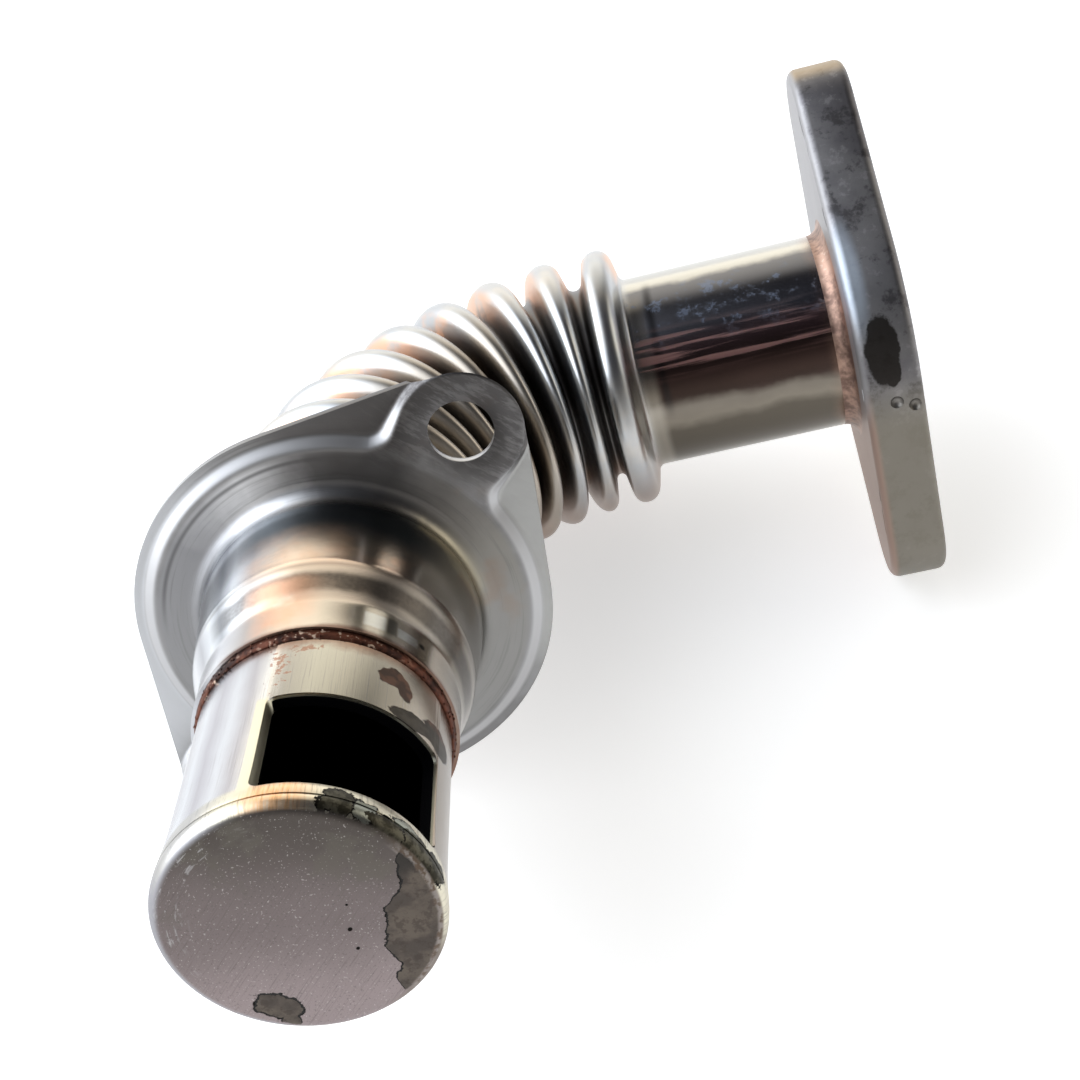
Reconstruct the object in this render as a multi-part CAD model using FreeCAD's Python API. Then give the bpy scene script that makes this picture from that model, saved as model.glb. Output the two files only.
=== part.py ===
"""Intake manifold tube with a corrugated bend, a pressed two-ear flange and a thick two-bolt flange.

Millimetres, +Z up, the tube lying on the floor as it comes to rest. Every piece is drawn in the
nozzle's own frame (origin on the nozzle axis in the plane of the pressed flange's raised pad, z toward
the end cap, x toward one ear) and is then laid down as one rigid group.
"""
import FreeCAD
import Part
import math
import os

V = FreeCAD.Vector

# Nozzle tube and its side window
NOZZLE_RADIUS = 12.5
NOZZLE_WALL = 1.5
NOZZLE_END = 46.6            # where the end cap seats, measured from the raised pad
NOZZLE_ROOT = -8.5           # lower end, inside the corrugated pipe's sleeve
FLARE = 0.3                  # how much further out the wall is at the cap end
FLARE_LENGTH = 7.0
WINDOW_LOW = 32.1
WINDOW_HIGH = 45.2
WINDOW_WIDTH_DEG = 84.0
WINDOW_CENTRE_DEG = 5.6
WINDOW_CORNER = 1.0

# End cap
CAP_THICKNESS = 1.7
CAP_ROUNDING = 1.2

# Pressed flange: base sheet, raised pad and drawn collar
SHEET = 0.9
PAD_RISE = 0.85
BASE_RADIUS = 23.2
EAR_DISTANCE = 26.4
EAR_RADIUS = 6.7
PAD_RADIUS = 22.0            # at the foot of its rounded edge
PAD_EAR_RADIUS = 7.0
PAD_NECK_FILLET = 1.4
PAD_EDGE = 0.75
EAR_HOLE_RADIUS = 3.5
COLLAR_FOOT_FILLET = 2.0
COLLAR_FOOT = 2.9            # outside the nozzle
COLLAR_SHOULDER = 2.2        # outside the nozzle
COLLAR_SHOULDER_AT = 12.8
COLLAR_NECK_AT = 17.6
COLLAR_END = 22.4
COLLAR_WALL = 0.7
FIT_GAP = 0.05               # brazed joints, all round

# Corrugated pipe: sleeve, bend with convolutions, straight stub
PIPE_RADIUS = 12.5
PIPE_WALL = 0.6
SLEEVE_TOP = 4.0
SLEEVE_STEP = 1.5
BEND_START = 12.45           # below the raised pad
BEND_ANGLE_DEG = 92.0
BEND_RADIUS = 32.8
BEND_DIRECTION_DEG = -45.0   # from the ear axis
CONVOLUTIONS = 9
PITCH = 6.43                 # along the centre line
FIRST_CREST = 2.1            # past the start of the bend
CREST_HEIGHT = 4.5           # outside the plain pipe
CREST_ROUNDING = 1.4
ROOT_ROUNDING = 1.3
ARC_STEPS = 2                # flat bands in each rounding of the wall
PLAIN_STEP = 1.5             # longest flat band where plain pipe follows the bend
STUB_LENGTH = 29.9           # from the end of the bend to the thick flange

# Thick flange
FLANGE_THICKNESS = 7.2
FLANGE_RADIUS = 20.0
FLANGE_EAR_RADIUS = 9.3
FLANGE_EAR_DISTANCE = 24.3
FLANGE_TURN_DEG = 64.5       # of the long axis, about the stub
FLANGE_EDGE = 1.2
FLANGE_HOLE_RADIUS = 3.4     # core of an M8 thread
FLANGE_HOLE_DEPTH = 5.7      # blind, from the front face
FLANGE_HOLE_EDGE = 0.5
FLANGE_LIP = 1.0             # left in front of the stub's end
PUNCH_RADIUS = 0.9
PUNCH_HEIGHT = 0.4           # of the punch's ball above the side
PUNCH_AT = 2.05              # from where the flank's straight starts
PUNCH_DEPTH_AT = 3.75        # from the flange's back face
PUNCH_SPACING = 2.15
PUNCH_SKEW = 0.8

# Braze
COLLAR_BRAZE = 0.6
COLLAR_BRAZE_LENGTH = 1.0
STUB_BRAZE = 2.2

# What follows from the sizes above
FLARE_RADIUS = NOZZLE_RADIUS + FLARE
COLLAR_FOOT_RADIUS = NOZZLE_RADIUS + COLLAR_FOOT
COLLAR_SHOULDER_RADIUS = NOZZLE_RADIUS + COLLAR_SHOULDER
CREST_RADIUS = PIPE_RADIUS + CREST_HEIGHT
BEND_LENGTH = BEND_RADIUS * math.radians(BEND_ANGLE_DEG)
FIRST_ROOT = FIRST_CREST - PITCH / 2
LAST_ROOT = FIRST_ROOT + CONVOLUTIONS * PITCH
STUB_START = max(LAST_ROOT, BEND_LENGTH)
FLANGE_AT = BEND_LENGTH + STUB_LENGTH


def path_frame(u):
    """Centre, outward radial direction and travel direction at arc length u from the start of the bend."""
    side = V(math.cos(math.radians(BEND_DIRECTION_DEG)), math.sin(math.radians(BEND_DIRECTION_DEG)), 0)
    up = V(0, 0, 1)
    angle = min(max(u, 0.0), BEND_LENGTH) / BEND_RADIUS
    inward = side * math.cos(angle) + up * math.sin(angle)
    travel = side * math.sin(angle) - up * math.cos(angle)
    centre = up * -BEND_START + side * BEND_RADIUS - inward * BEND_RADIUS
    centre = centre + travel * (min(u, 0.0) + max(u - BEND_LENGTH, 0.0))
    return centre, inward * -1, travel


def placement_at(u):
    """Placement with z along the travel direction and x pointing out of the bend."""
    centre, out, travel = path_frame(u)
    side = travel.cross(out)
    m = FreeCAD.Matrix(out.x, side.x, travel.x, centre.x, out.y, side.y, travel.y, centre.y,
                       out.z, side.z, travel.z, centre.z, 0, 0, 0, 1)
    return FreeCAD.Placement(m)


def turned(points):
    """Solid of revolution about z from (radius, height) points; a point of three is an arc's middle."""
    edges = []
    last = points[0]
    middle = None
    for p in points[1:] + [points[0]]:
        if len(p) == 3:
            middle = p
            continue
        a, b = V(last[0], 0, last[1]), V(p[0], 0, p[1])
        if middle:
            edges.append(Part.Arc(a, V(middle[0], 0, middle[1]), b).toShape())
            middle = None
        elif a.distanceToPoint(b) > 1e-6:
            edges.append(Part.makeLine(a, b))
        last = p
    face = Part.Face(Part.Wire(edges))
    return face.revolve(V(0, 0, 0), V(0, 0, 1), 360)


def on_arc(centre, radius, degrees):
    """Point of a (radius, height) arc, marked as an arc's middle."""
    a = math.radians(degrees)
    return (centre[0] + radius * math.cos(a), centre[1] + radius * math.sin(a), "arc")


def ear_outline(radius, ear_radius, distance, z):
    """Round middle and two round ears joined by straight tangents."""
    tilt = math.asin((radius - ear_radius) / distance)
    edges = []
    marks = []
    for sx, sy in ((1, 1), (-1, 1), (-1, -1), (1, -1)):
        nx, ny = sx * math.sin(tilt), sy * math.cos(tilt)
        ear = V(sx * distance + ear_radius * nx, ear_radius * ny, z)
        mid = V(radius * nx, radius * ny, z)
        marks.append((ear, mid))
        edges.append(Part.makeLine(ear, mid))
    edges.append(Part.Arc(marks[0][1], V(0, radius, z), marks[1][1]).toShape())
    edges.append(Part.Arc(marks[2][1], V(0, -radius, z), marks[3][1]).toShape())
    edges.append(Part.Arc(marks[1][0], V(-distance - ear_radius, 0, z), marks[2][0]).toShape())
    edges.append(Part.Arc(marks[3][0], V(distance + ear_radius, 0, z), marks[0][0]).toShape())
    return Part.Wire(Part.__sortEdges__(edges))


def necked_outline(radius, half_width, distance, fillet, z):
    """Round middle with a straight round-ended arm to each side, the corners hollowed."""
    y = half_width + fillet
    x = math.sqrt((radius + fillet) ** 2 - y ** 2)
    edges = []
    mids = []
    ears = []
    for sx, sy in ((1, 1), (-1, 1), (-1, -1), (1, -1)):
        centre = V(sx * x, sy * y, z)
        on_mid = V(sx * x * radius / (radius + fillet), sy * y * radius / (radius + fillet), z)
        on_arm = V(sx * x, sy * half_width, z)
        ear = V(sx * distance, sy * half_width, z)
        inner = (on_mid + on_arm) * 0.5 - centre
        edges.append(Part.Arc(on_mid, centre + inner * (fillet / inner.Length), on_arm).toShape())
        edges.append(Part.makeLine(on_arm, ear))
        mids.append(on_mid)
        ears.append(ear)
    edges.append(Part.Arc(mids[0], V(0, radius, z), mids[1]).toShape())
    edges.append(Part.Arc(mids[2], V(0, -radius, z), mids[3]).toShape())
    edges.append(Part.Arc(ears[1], V(-distance - half_width, 0, z), ears[2]).toShape())
    edges.append(Part.Arc(ears[3], V(distance + half_width, 0, z), ears[0]).toShape())
    return Part.Wire(Part.__sortEdges__(edges))


def slab(wire, height):
    return Part.Face(wire).extrude(V(0, 0, height))


def level_edges(shape, z):
    """Edges that lie wholly at height z."""
    return [e for e in shape.Edges if abs(e.BoundBox.ZMin - z) < 1e-4 and abs(e.BoundBox.ZMax - z) < 1e-4]


def nozzle_tube():
    """Straight tube, widened a little at the cap end, with one rounded window in its side."""
    ro, ri = NOZZLE_RADIUS, NOZZLE_RADIUS - NOZZLE_WALL
    rise = FLARE_RADIUS - NOZZLE_RADIUS
    start = NOZZLE_END - FLARE_LENGTH
    middle = NOZZLE_END - FLARE_LENGTH / 2
    tube = turned([(ri, NOZZLE_ROOT), (ro, NOZZLE_ROOT), (ro, start), (ro + rise / 4, middle, "arc"),
                   (FLARE_RADIUS, NOZZLE_END), (FLARE_RADIUS - NOZZLE_WALL, NOZZLE_END),
                   (ri + rise / 4, middle, "arc"), (ri, start)])
    half = math.radians(WINDOW_WIDTH_DEG / 2)
    reach = 2 * NOZZLE_RADIUS
    wedge = Part.makePolygon([V(0, 0, WINDOW_LOW), V(reach * math.cos(half), -reach * math.sin(half), WINDOW_LOW),
                              V(reach, 0, WINDOW_LOW), V(reach * math.cos(half), reach * math.sin(half), WINDOW_LOW),
                              V(0, 0, WINDOW_LOW)])
    cutter = Part.Face(wedge).extrude(V(0, 0, WINDOW_HIGH - WINDOW_LOW))
    sides = [e for e in cutter.Edges if abs(e.BoundBox.ZMax - e.BoundBox.ZMin) < 1e-6
             and e.BoundBox.XMin < 1e-6 and e.Length > NOZZLE_RADIUS]
    cutter = cutter.makeFillet(WINDOW_CORNER, sides)
    cutter.rotate(V(0, 0, 0), V(0, 0, 1), WINDOW_CENTRE_DEG)
    return tube.cut(cutter)


def end_cap():
    """Flat disc with a rounded rim, seated on the widened end."""
    r, z0, z1, c = FLARE_RADIUS, NOZZLE_END, NOZZLE_END + CAP_THICKNESS, CAP_ROUNDING
    return turned([(0, z0), (r, z0), (r, z1 - c), on_arc((r - c, z1 - c), c, 45), (r - c, z1), (0, z1)])


def collar_profile():
    """Drawn collar from the pad to the nozzle: foot fillet, drum, shoulder and close-fitting neck."""
    f, wall = COLLAR_FOOT_FILLET, SHEET
    neck_in = NOZZLE_RADIUS + FIT_GAP
    neck = neck_in + COLLAR_WALL
    foot, shoulder = COLLAR_FOOT_RADIUS, COLLAR_SHOULDER_RADIUS
    z1, z2, z3 = COLLAR_SHOULDER_AT, COLLAR_NECK_AT, COLLAR_END
    blend = shoulder - 0.35 * (shoulder - neck)
    outer = [(foot + f, 0), on_arc((foot + f, f), f, 225), (foot, f), (shoulder, z1),
             (blend, z1 + 1.3), (neck + 0.15, z2 - 1.6), (neck, z2), (neck, z3)]
    inner = [(neck_in, z3), (neck_in, z2 - 0.8), (neck_in + 0.15, z2 - 2.4), (blend - wall + 0.2, z1 + 0.4),
             (shoulder - wall, z1 - 0.9), (foot - wall, f), on_arc((foot + f, f), f + wall, 225),
             (foot + f, -wall)]
    return outer + inner


def pressed_flange():
    """Two-ear sheet flange with a raised pad, holes in both ears and the drawn collar."""
    low = -PAD_RISE - SHEET
    outline = ear_outline(BASE_RADIUS, EAR_RADIUS, EAR_DISTANCE, low)
    pad = slab(necked_outline(PAD_RADIUS, PAD_EAR_RADIUS, EAR_DISTANCE, PAD_NECK_FILLET, -SHEET), SHEET)
    pad = pad.makeFillet(PAD_EDGE, level_edges(pad, 0.0))
    skirt = slab(necked_outline(PAD_RADIUS, PAD_EAR_RADIUS, EAR_DISTANCE, PAD_NECK_FILLET, low), PAD_RISE)
    body = slab(outline, SHEET).fuse([pad, skirt.common(slab(outline, PAD_RISE))])
    under = slab(necked_outline(PAD_RADIUS - SHEET, PAD_EAR_RADIUS - SHEET, EAR_DISTANCE,
                                PAD_NECK_FILLET + SHEET, low), PAD_RISE)
    opening = Part.makeCylinder(COLLAR_FOOT_RADIUS + COLLAR_FOOT_FILLET, 4 * SHEET, V(0, 0, -3 * SHEET))
    body = body.cut(under).cut(opening)
    for sign in (1, -1):
        hole = Part.makeCylinder(EAR_HOLE_RADIUS, 6 * SHEET, V(sign * EAR_DISTANCE, 0, -4 * SHEET))
        body = body.cut(hole)
    return body.fuse(turned(collar_profile())).removeSplitter()


def arc_steps(centre, radius, first_deg, last_deg):
    """(length, radius) points along an arc of the wall's section, both ends included."""
    points = []
    for k in range(ARC_STEPS + 1):
        a = math.radians(first_deg + (last_deg - first_deg) * k / ARC_STEPS)
        points.append((centre[0] + radius * math.cos(a), centre[1] + radius * math.sin(a)))
    return points


def convolution_points(offset):
    """(arc length, radius) points along the corrugated wall, moved inward by offset."""
    half = PITCH / 2
    drop = CREST_RADIUS - PIPE_RADIUS - CREST_ROUNDING - ROOT_ROUNDING
    reach = math.hypot(half, drop)
    slope = math.degrees(math.atan2(drop, half) + math.asin((CREST_ROUNDING + ROOT_ROUNDING) / reach))
    root = arc_steps((0, PIPE_RADIUS + ROOT_ROUNDING), ROOT_ROUNDING + offset, -90, slope - 90)
    crest = arc_steps((half, CREST_RADIUS - CREST_ROUNDING), CREST_ROUNDING - offset, slope + 90, 90)
    rising = root + crest
    falling = [(PITCH - x, r) for x, r in reversed(rising[1:-1])]
    points = []
    for n in range(CONVOLUTIONS):
        points += [(FIRST_ROOT + n * PITCH + x, r) for x, r in rising + falling]
    plain = STUB_START - LAST_ROOT
    bands = math.ceil(plain / PLAIN_STEP)
    points += [(LAST_ROOT + plain * k / bands, PIPE_RADIUS - offset) for k in range(bands)]
    points.append((STUB_START, PIPE_RADIUS - offset))
    return points


def corrugated_faces(offset):
    """Ruled bands between the round sections of the corrugated wall."""
    rings = []
    for u, r in convolution_points(offset):
        ring = Part.makeCircle(r)
        ring.Placement = placement_at(u)
        rings.append(ring)
    return [Part.makeRuledSurface(a, b) for a, b in zip(rings, rings[1:])]


def ring_face(outer, inner):
    return Part.Face([Part.Wire(outer), Part.Wire(inner)])


def corrugated_pipe():
    """One thin pipe: sleeve over the nozzle's root, convolutions round the bend, plain stub."""
    ro, ri = PIPE_RADIUS, PIPE_RADIUS - PIPE_WALL
    faces = corrugated_faces(0.0) + corrugated_faces(PIPE_WALL)
    for u in (FIRST_ROOT, STUB_START):
        rings = [Part.makeCircle(r) for r in (ro, ri)]
        for ring in rings:
            ring.Placement = placement_at(u)
        faces.append(ring_face(*rings))
    shell = Part.Shell(faces)
    shell.sewShape()
    bellows = Part.Solid(shell)
    if bellows.Volume < 0:
        bellows.reverse()
    sleeve_in = NOZZLE_RADIUS + FIT_GAP
    sleeve_out = sleeve_in + PIPE_WALL
    top = -BEND_START - FIRST_ROOT
    step = NOZZLE_ROOT - 0.5
    sleeve = turned([(ri, top), (ro, top), (ro, step - SLEEVE_STEP), (sleeve_out, step), (sleeve_out, SLEEVE_TOP),
                     (sleeve_in, SLEEVE_TOP), (sleeve_in, step), (ri, step - SLEEVE_STEP)])
    length = FLANGE_AT + FLANGE_THICKNESS - FLANGE_LIP - STUB_START
    stub = Part.makeCylinder(ro, length).cut(Part.makeCylinder(ri, length))
    stub.Placement = placement_at(STUB_START)
    return bellows.fuse([sleeve, stub]).removeSplitter()


def thick_flange():
    """Thick flange with rounded edges, a stepped bore for the stub, two tapped holes and two punch marks."""
    t = FLANGE_THICKNESS
    body = slab(ear_outline(FLANGE_RADIUS, FLANGE_EAR_RADIUS, FLANGE_EAR_DISTANCE, 0), t)
    body = body.makeFillet(FLANGE_EDGE, level_edges(body, 0) + level_edges(body, t))
    body = body.cut(Part.makeCylinder(PIPE_RADIUS - PIPE_WALL, t))
    body = body.cut(Part.makeCylinder(PIPE_RADIUS + FIT_GAP, t - FLANGE_LIP))
    for sign in (1, -1):
        x = sign * FLANGE_EAR_DISTANCE
        r, c = FLANGE_HOLE_RADIUS, FLANGE_HOLE_EDGE
        body = body.cut(Part.makeCylinder(r, FLANGE_HOLE_DEPTH, V(x, 0, t - FLANGE_HOLE_DEPTH)))
        body = body.cut(Part.makeCone(r, r + c, c, V(x, 0, t - c)))
    body = body.cut(punch_marks())
    body.Placement = flange_placement()
    return body


def punch_marks():
    """Two small round dimples side by side on the straight flank beside one ear."""
    tilt = math.asin((FLANGE_RADIUS - FLANGE_EAR_RADIUS) / FLANGE_EAR_DISTANCE)
    along = V(-math.cos(tilt), -math.sin(tilt), 0)
    normal = V(-math.sin(tilt), math.cos(tilt), 0)
    surface = normal * (FLANGE_RADIUS + PUNCH_HEIGHT)
    first = Part.makeSphere(PUNCH_RADIUS, surface + along * PUNCH_AT + V(0, 0, PUNCH_DEPTH_AT))
    second = Part.makeSphere(PUNCH_RADIUS, surface + along * (PUNCH_AT + PUNCH_SKEW)
                             + V(0, 0, PUNCH_DEPTH_AT + PUNCH_SPACING))
    return first.fuse(second)


def flange_placement():
    base = placement_at(FLANGE_AT)
    return base.multiply(FreeCAD.Placement(V(0, 0, 0), FreeCAD.Rotation(V(0, 0, 1), FLANGE_TURN_DEG)))


def collar_braze():
    """Bead of filler closing the collar's end on the nozzle."""
    inner, outer = NOZZLE_RADIUS, NOZZLE_RADIUS + FIT_GAP + COLLAR_BRAZE
    low, high = COLLAR_END, COLLAR_END + COLLAR_BRAZE_LENGTH
    bulge = ((inner + outer) / 2 + 0.12, (low + high) / 2 + 0.12, "arc")
    return turned([(inner, low), (outer, low), bulge, (inner, high)])


def stub_braze():
    """Hollow-cornered ring of filler between the stub and the thick flange."""
    r0, r1 = PIPE_RADIUS, PIPE_RADIUS + STUB_BRAZE
    ring = turned([(r0, 0), (r1, 0), (r0 + 0.36 * STUB_BRAZE, -0.36 * STUB_BRAZE, "arc"), (r0, -STUB_BRAZE)])
    ring.Placement = placement_at(FLANGE_AT)
    return ring


def ring_support(centre, axis, radius, ball, down):
    """Lowest point of a ring of balls: the outside of a rounded circular edge."""
    radial = down - axis * down.dot(axis)
    return centre + radial * (radius / radial.Length) + down * ball


def support_points(down):
    """Lowest points of the bend, the pressed flange and the thick flange in direction down."""
    crests = []
    for n in range(CONVOLUTIONS):
        centre, out, travel = path_frame(FIRST_CREST + n * PITCH)
        crests.append(ring_support(centre, travel, CREST_RADIUS - CREST_ROUNDING, CREST_ROUNDING, down))
    up = V(0, 0, 1)
    ears = []
    for sign in (1, -1):
        ears.append(ring_support(V(sign * EAR_DISTANCE, 0, -SHEET), up, PAD_EAR_RADIUS, 0, down))
        ears.append(ring_support(V(sign * EAR_DISTANCE, 0, -SHEET - PAD_RISE), up, EAR_RADIUS, 0, down))
    corners = []
    place = flange_placement()
    axis = place.Rotation.multVec(up)
    for sign in (1, -1):
        for z in (FLANGE_EDGE, FLANGE_THICKNESS - FLANGE_EDGE):
            centre = place.multVec(V(sign * FLANGE_EAR_DISTANCE, 0, z))
            corners.append(ring_support(centre, axis, FLANGE_EAR_RADIUS - FLANGE_EDGE, FLANGE_EDGE, down))
    return [max(group, key=lambda p: p.dot(down)) for group in (crests, ears, corners)]


def resting_placement(shapes):
    """Lay the part on the bend, an ear of the pressed flange and the rim of the thick flange."""
    up = V(0.79, 0.505, 0.345)
    up.normalize()
    for _ in range(40):
        a, b, c = support_points(up * -1)
        normal = (b - a).cross(c - a)
        normal.normalize()
        up = normal if normal.dot(up) > 0 else normal * -1
    forward = V(0, 0, -1) + up * up.z
    forward.normalize()
    right = forward.cross(up)
    turn = FreeCAD.Placement(FreeCAD.Matrix(right.x, right.y, right.z, 0, forward.x, forward.y, forward.z, 0,
                                            up.x, up.y, up.z, 0, 0, 0, 0, 1))
    group = Part.Compound(list(shapes))
    group.Placement = turn
    box = group.optimalBoundingBox(False, False)
    floor = turn.multVec(support_points(up * -1)[2]).z
    shift = V(-(box.XMin + box.XMax) / 2, -(box.YMin + box.YMax) / 2, -floor)
    return FreeCAD.Placement(shift, FreeCAD.Rotation()).multiply(turn)


def pieces():
    return {"nozzle_tube": nozzle_tube(), "end_cap": end_cap(), "pressed_flange": pressed_flange(),
            "corrugated_pipe": corrugated_pipe(), "thick_flange": thick_flange(),
            "collar_braze": collar_braze(), "stub_braze": stub_braze()}


def main():
    os.makedirs("parts", exist_ok=True)
    shapes = pieces()
    rest = resting_placement(shapes.values())
    for name, shape in shapes.items():
        shape.Placement = rest.multiply(shape.Placement)
        shape.exportStep("parts/%s.step" % name)


main()
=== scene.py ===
"""Looks of the intake manifold tube: a bent corrugated steel pipe, two flanges and a capped, windowed nozzle.

Lengths are millimetres inside the classes and metres in the finished meshes. Every finished mesh is in the
row frame, and its object sits at the origin.
"""
import logging
import math
from dataclasses import dataclass, field
from enum import Enum
from typing import Any, Callable, Sequence

import bmesh
import bpy
from mathutils import Matrix, Vector
from mathutils.geometry import delaunay_2d_cdt


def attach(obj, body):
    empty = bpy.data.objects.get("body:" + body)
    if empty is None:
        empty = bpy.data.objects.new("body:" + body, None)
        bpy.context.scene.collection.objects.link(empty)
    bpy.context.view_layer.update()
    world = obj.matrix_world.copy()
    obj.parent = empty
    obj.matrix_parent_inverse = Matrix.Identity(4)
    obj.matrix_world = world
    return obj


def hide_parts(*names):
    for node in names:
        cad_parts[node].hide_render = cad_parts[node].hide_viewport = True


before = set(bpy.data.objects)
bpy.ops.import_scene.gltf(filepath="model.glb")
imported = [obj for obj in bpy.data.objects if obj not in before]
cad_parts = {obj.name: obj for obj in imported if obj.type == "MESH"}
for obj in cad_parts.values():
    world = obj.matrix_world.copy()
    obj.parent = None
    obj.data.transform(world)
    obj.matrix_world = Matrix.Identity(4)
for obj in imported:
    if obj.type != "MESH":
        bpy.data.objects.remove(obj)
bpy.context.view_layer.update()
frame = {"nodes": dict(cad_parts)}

LOG = logging.getLogger("tube")
METRE = 0.001
TUBE_RADIUS = 12.5
COLLAR_RADIUS = 15.0
Point = tuple[float, float]
Colour = tuple[float, float, float]

# The nozzle's frame, laid down in the row frame: x toward the ear that shows, z toward the end cap.
NOZZLE = Matrix(((0.53840239, -0.84268788, 0.0, -26.1573), (0.29056369, 0.18564428, -0.93867404, -11.7842),
                 (0.79100924, 0.50538434, 0.34480582, 27.7752), (0.0, 0.0, 0.0, 1.0)))


class Slot(Enum):
    """The record's material slots."""

    NOZZLE = "nozzle_steel"
    CAP = "cap_steel"
    SHEET = "sheet_steel"
    PIPE = "pipe_steel"
    FLANGE = "flange_steel"
    BRAZE = "braze"
    TINTED_BRAZE = "tinted_braze"


# Shader graphs


class Signal:
    """One output of a material's nodes, used in sums as a number is."""

    def __init__(self, graph: "Graph", socket: bpy.types.NodeSocket) -> None:
        """Keeps the graph and the socket."""
        self.graph, self.socket = graph, socket

    def maths(self, operation: str, *values: Any) -> "Signal":
        """Adds a Math node.

        Args:
            operation: the node's operation.
            values: its inputs in order.

        Returns:
            The node's output.
        """
        return self.graph.node("ShaderNodeMath", {"operation": operation}, values)

    def __add__(self, other: Any) -> "Signal":
        """Sum."""
        return self.maths("ADD", self, other)

    def __radd__(self, other: Any) -> "Signal":
        """Sum with the number first."""
        return self.maths("ADD", other, self)

    def __sub__(self, other: Any) -> "Signal":
        """Difference."""
        return self.maths("SUBTRACT", self, other)

    def __rsub__(self, other: Any) -> "Signal":
        """Difference from a number."""
        return self.maths("SUBTRACT", other, self)

    def __mul__(self, other: Any) -> "Signal":
        """Product."""
        return self.maths("MULTIPLY", self, other)

    def __rmul__(self, other: Any) -> "Signal":
        """Product with the number first."""
        return self.maths("MULTIPLY", other, self)

    def __truediv__(self, other: Any) -> "Signal":
        """Quotient."""
        return self.maths("DIVIDE", self, other)

    def __pow__(self, other: Any) -> "Signal":
        """Power."""
        return self.maths("POWER", self, other)

    def highest(self, other: Any) -> "Signal":
        """The greater of two."""
        return self.maths("MAXIMUM", self, other)

    def lowest(self, other: Any) -> "Signal":
        """The lesser of two."""
        return self.maths("MINIMUM", self, other)

    def between(self, low: float, high: float) -> "Signal":
        """Rises smoothly from 0 at low to 1 at high; falls if low is the greater.

        Args:
            low: where the result is 0.
            high: where the result is 1.

        Returns:
            A mask from 0 to 1.
        """
        if low > high:
            return 1.0 - self.between(high, low)
        return self.graph.node("ShaderNodeMapRange", {"interpolation_type": "SMOOTHSTEP"},
                               {0: self, 1: low, 2: high, 3: 0.0, 4: 1.0})

    def band(self, low: float, high: float, soft: float) -> "Signal":
        """1 between low and high, 0 outside, with soft edges.

        Args:
            low: lower limit.
            high: upper limit.
            soft: half the width of each edge.

        Returns:
            A mask from 0 to 1.
        """
        return self.between(low - soft, low + soft) * self.between(high + soft, high - soft)


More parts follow.
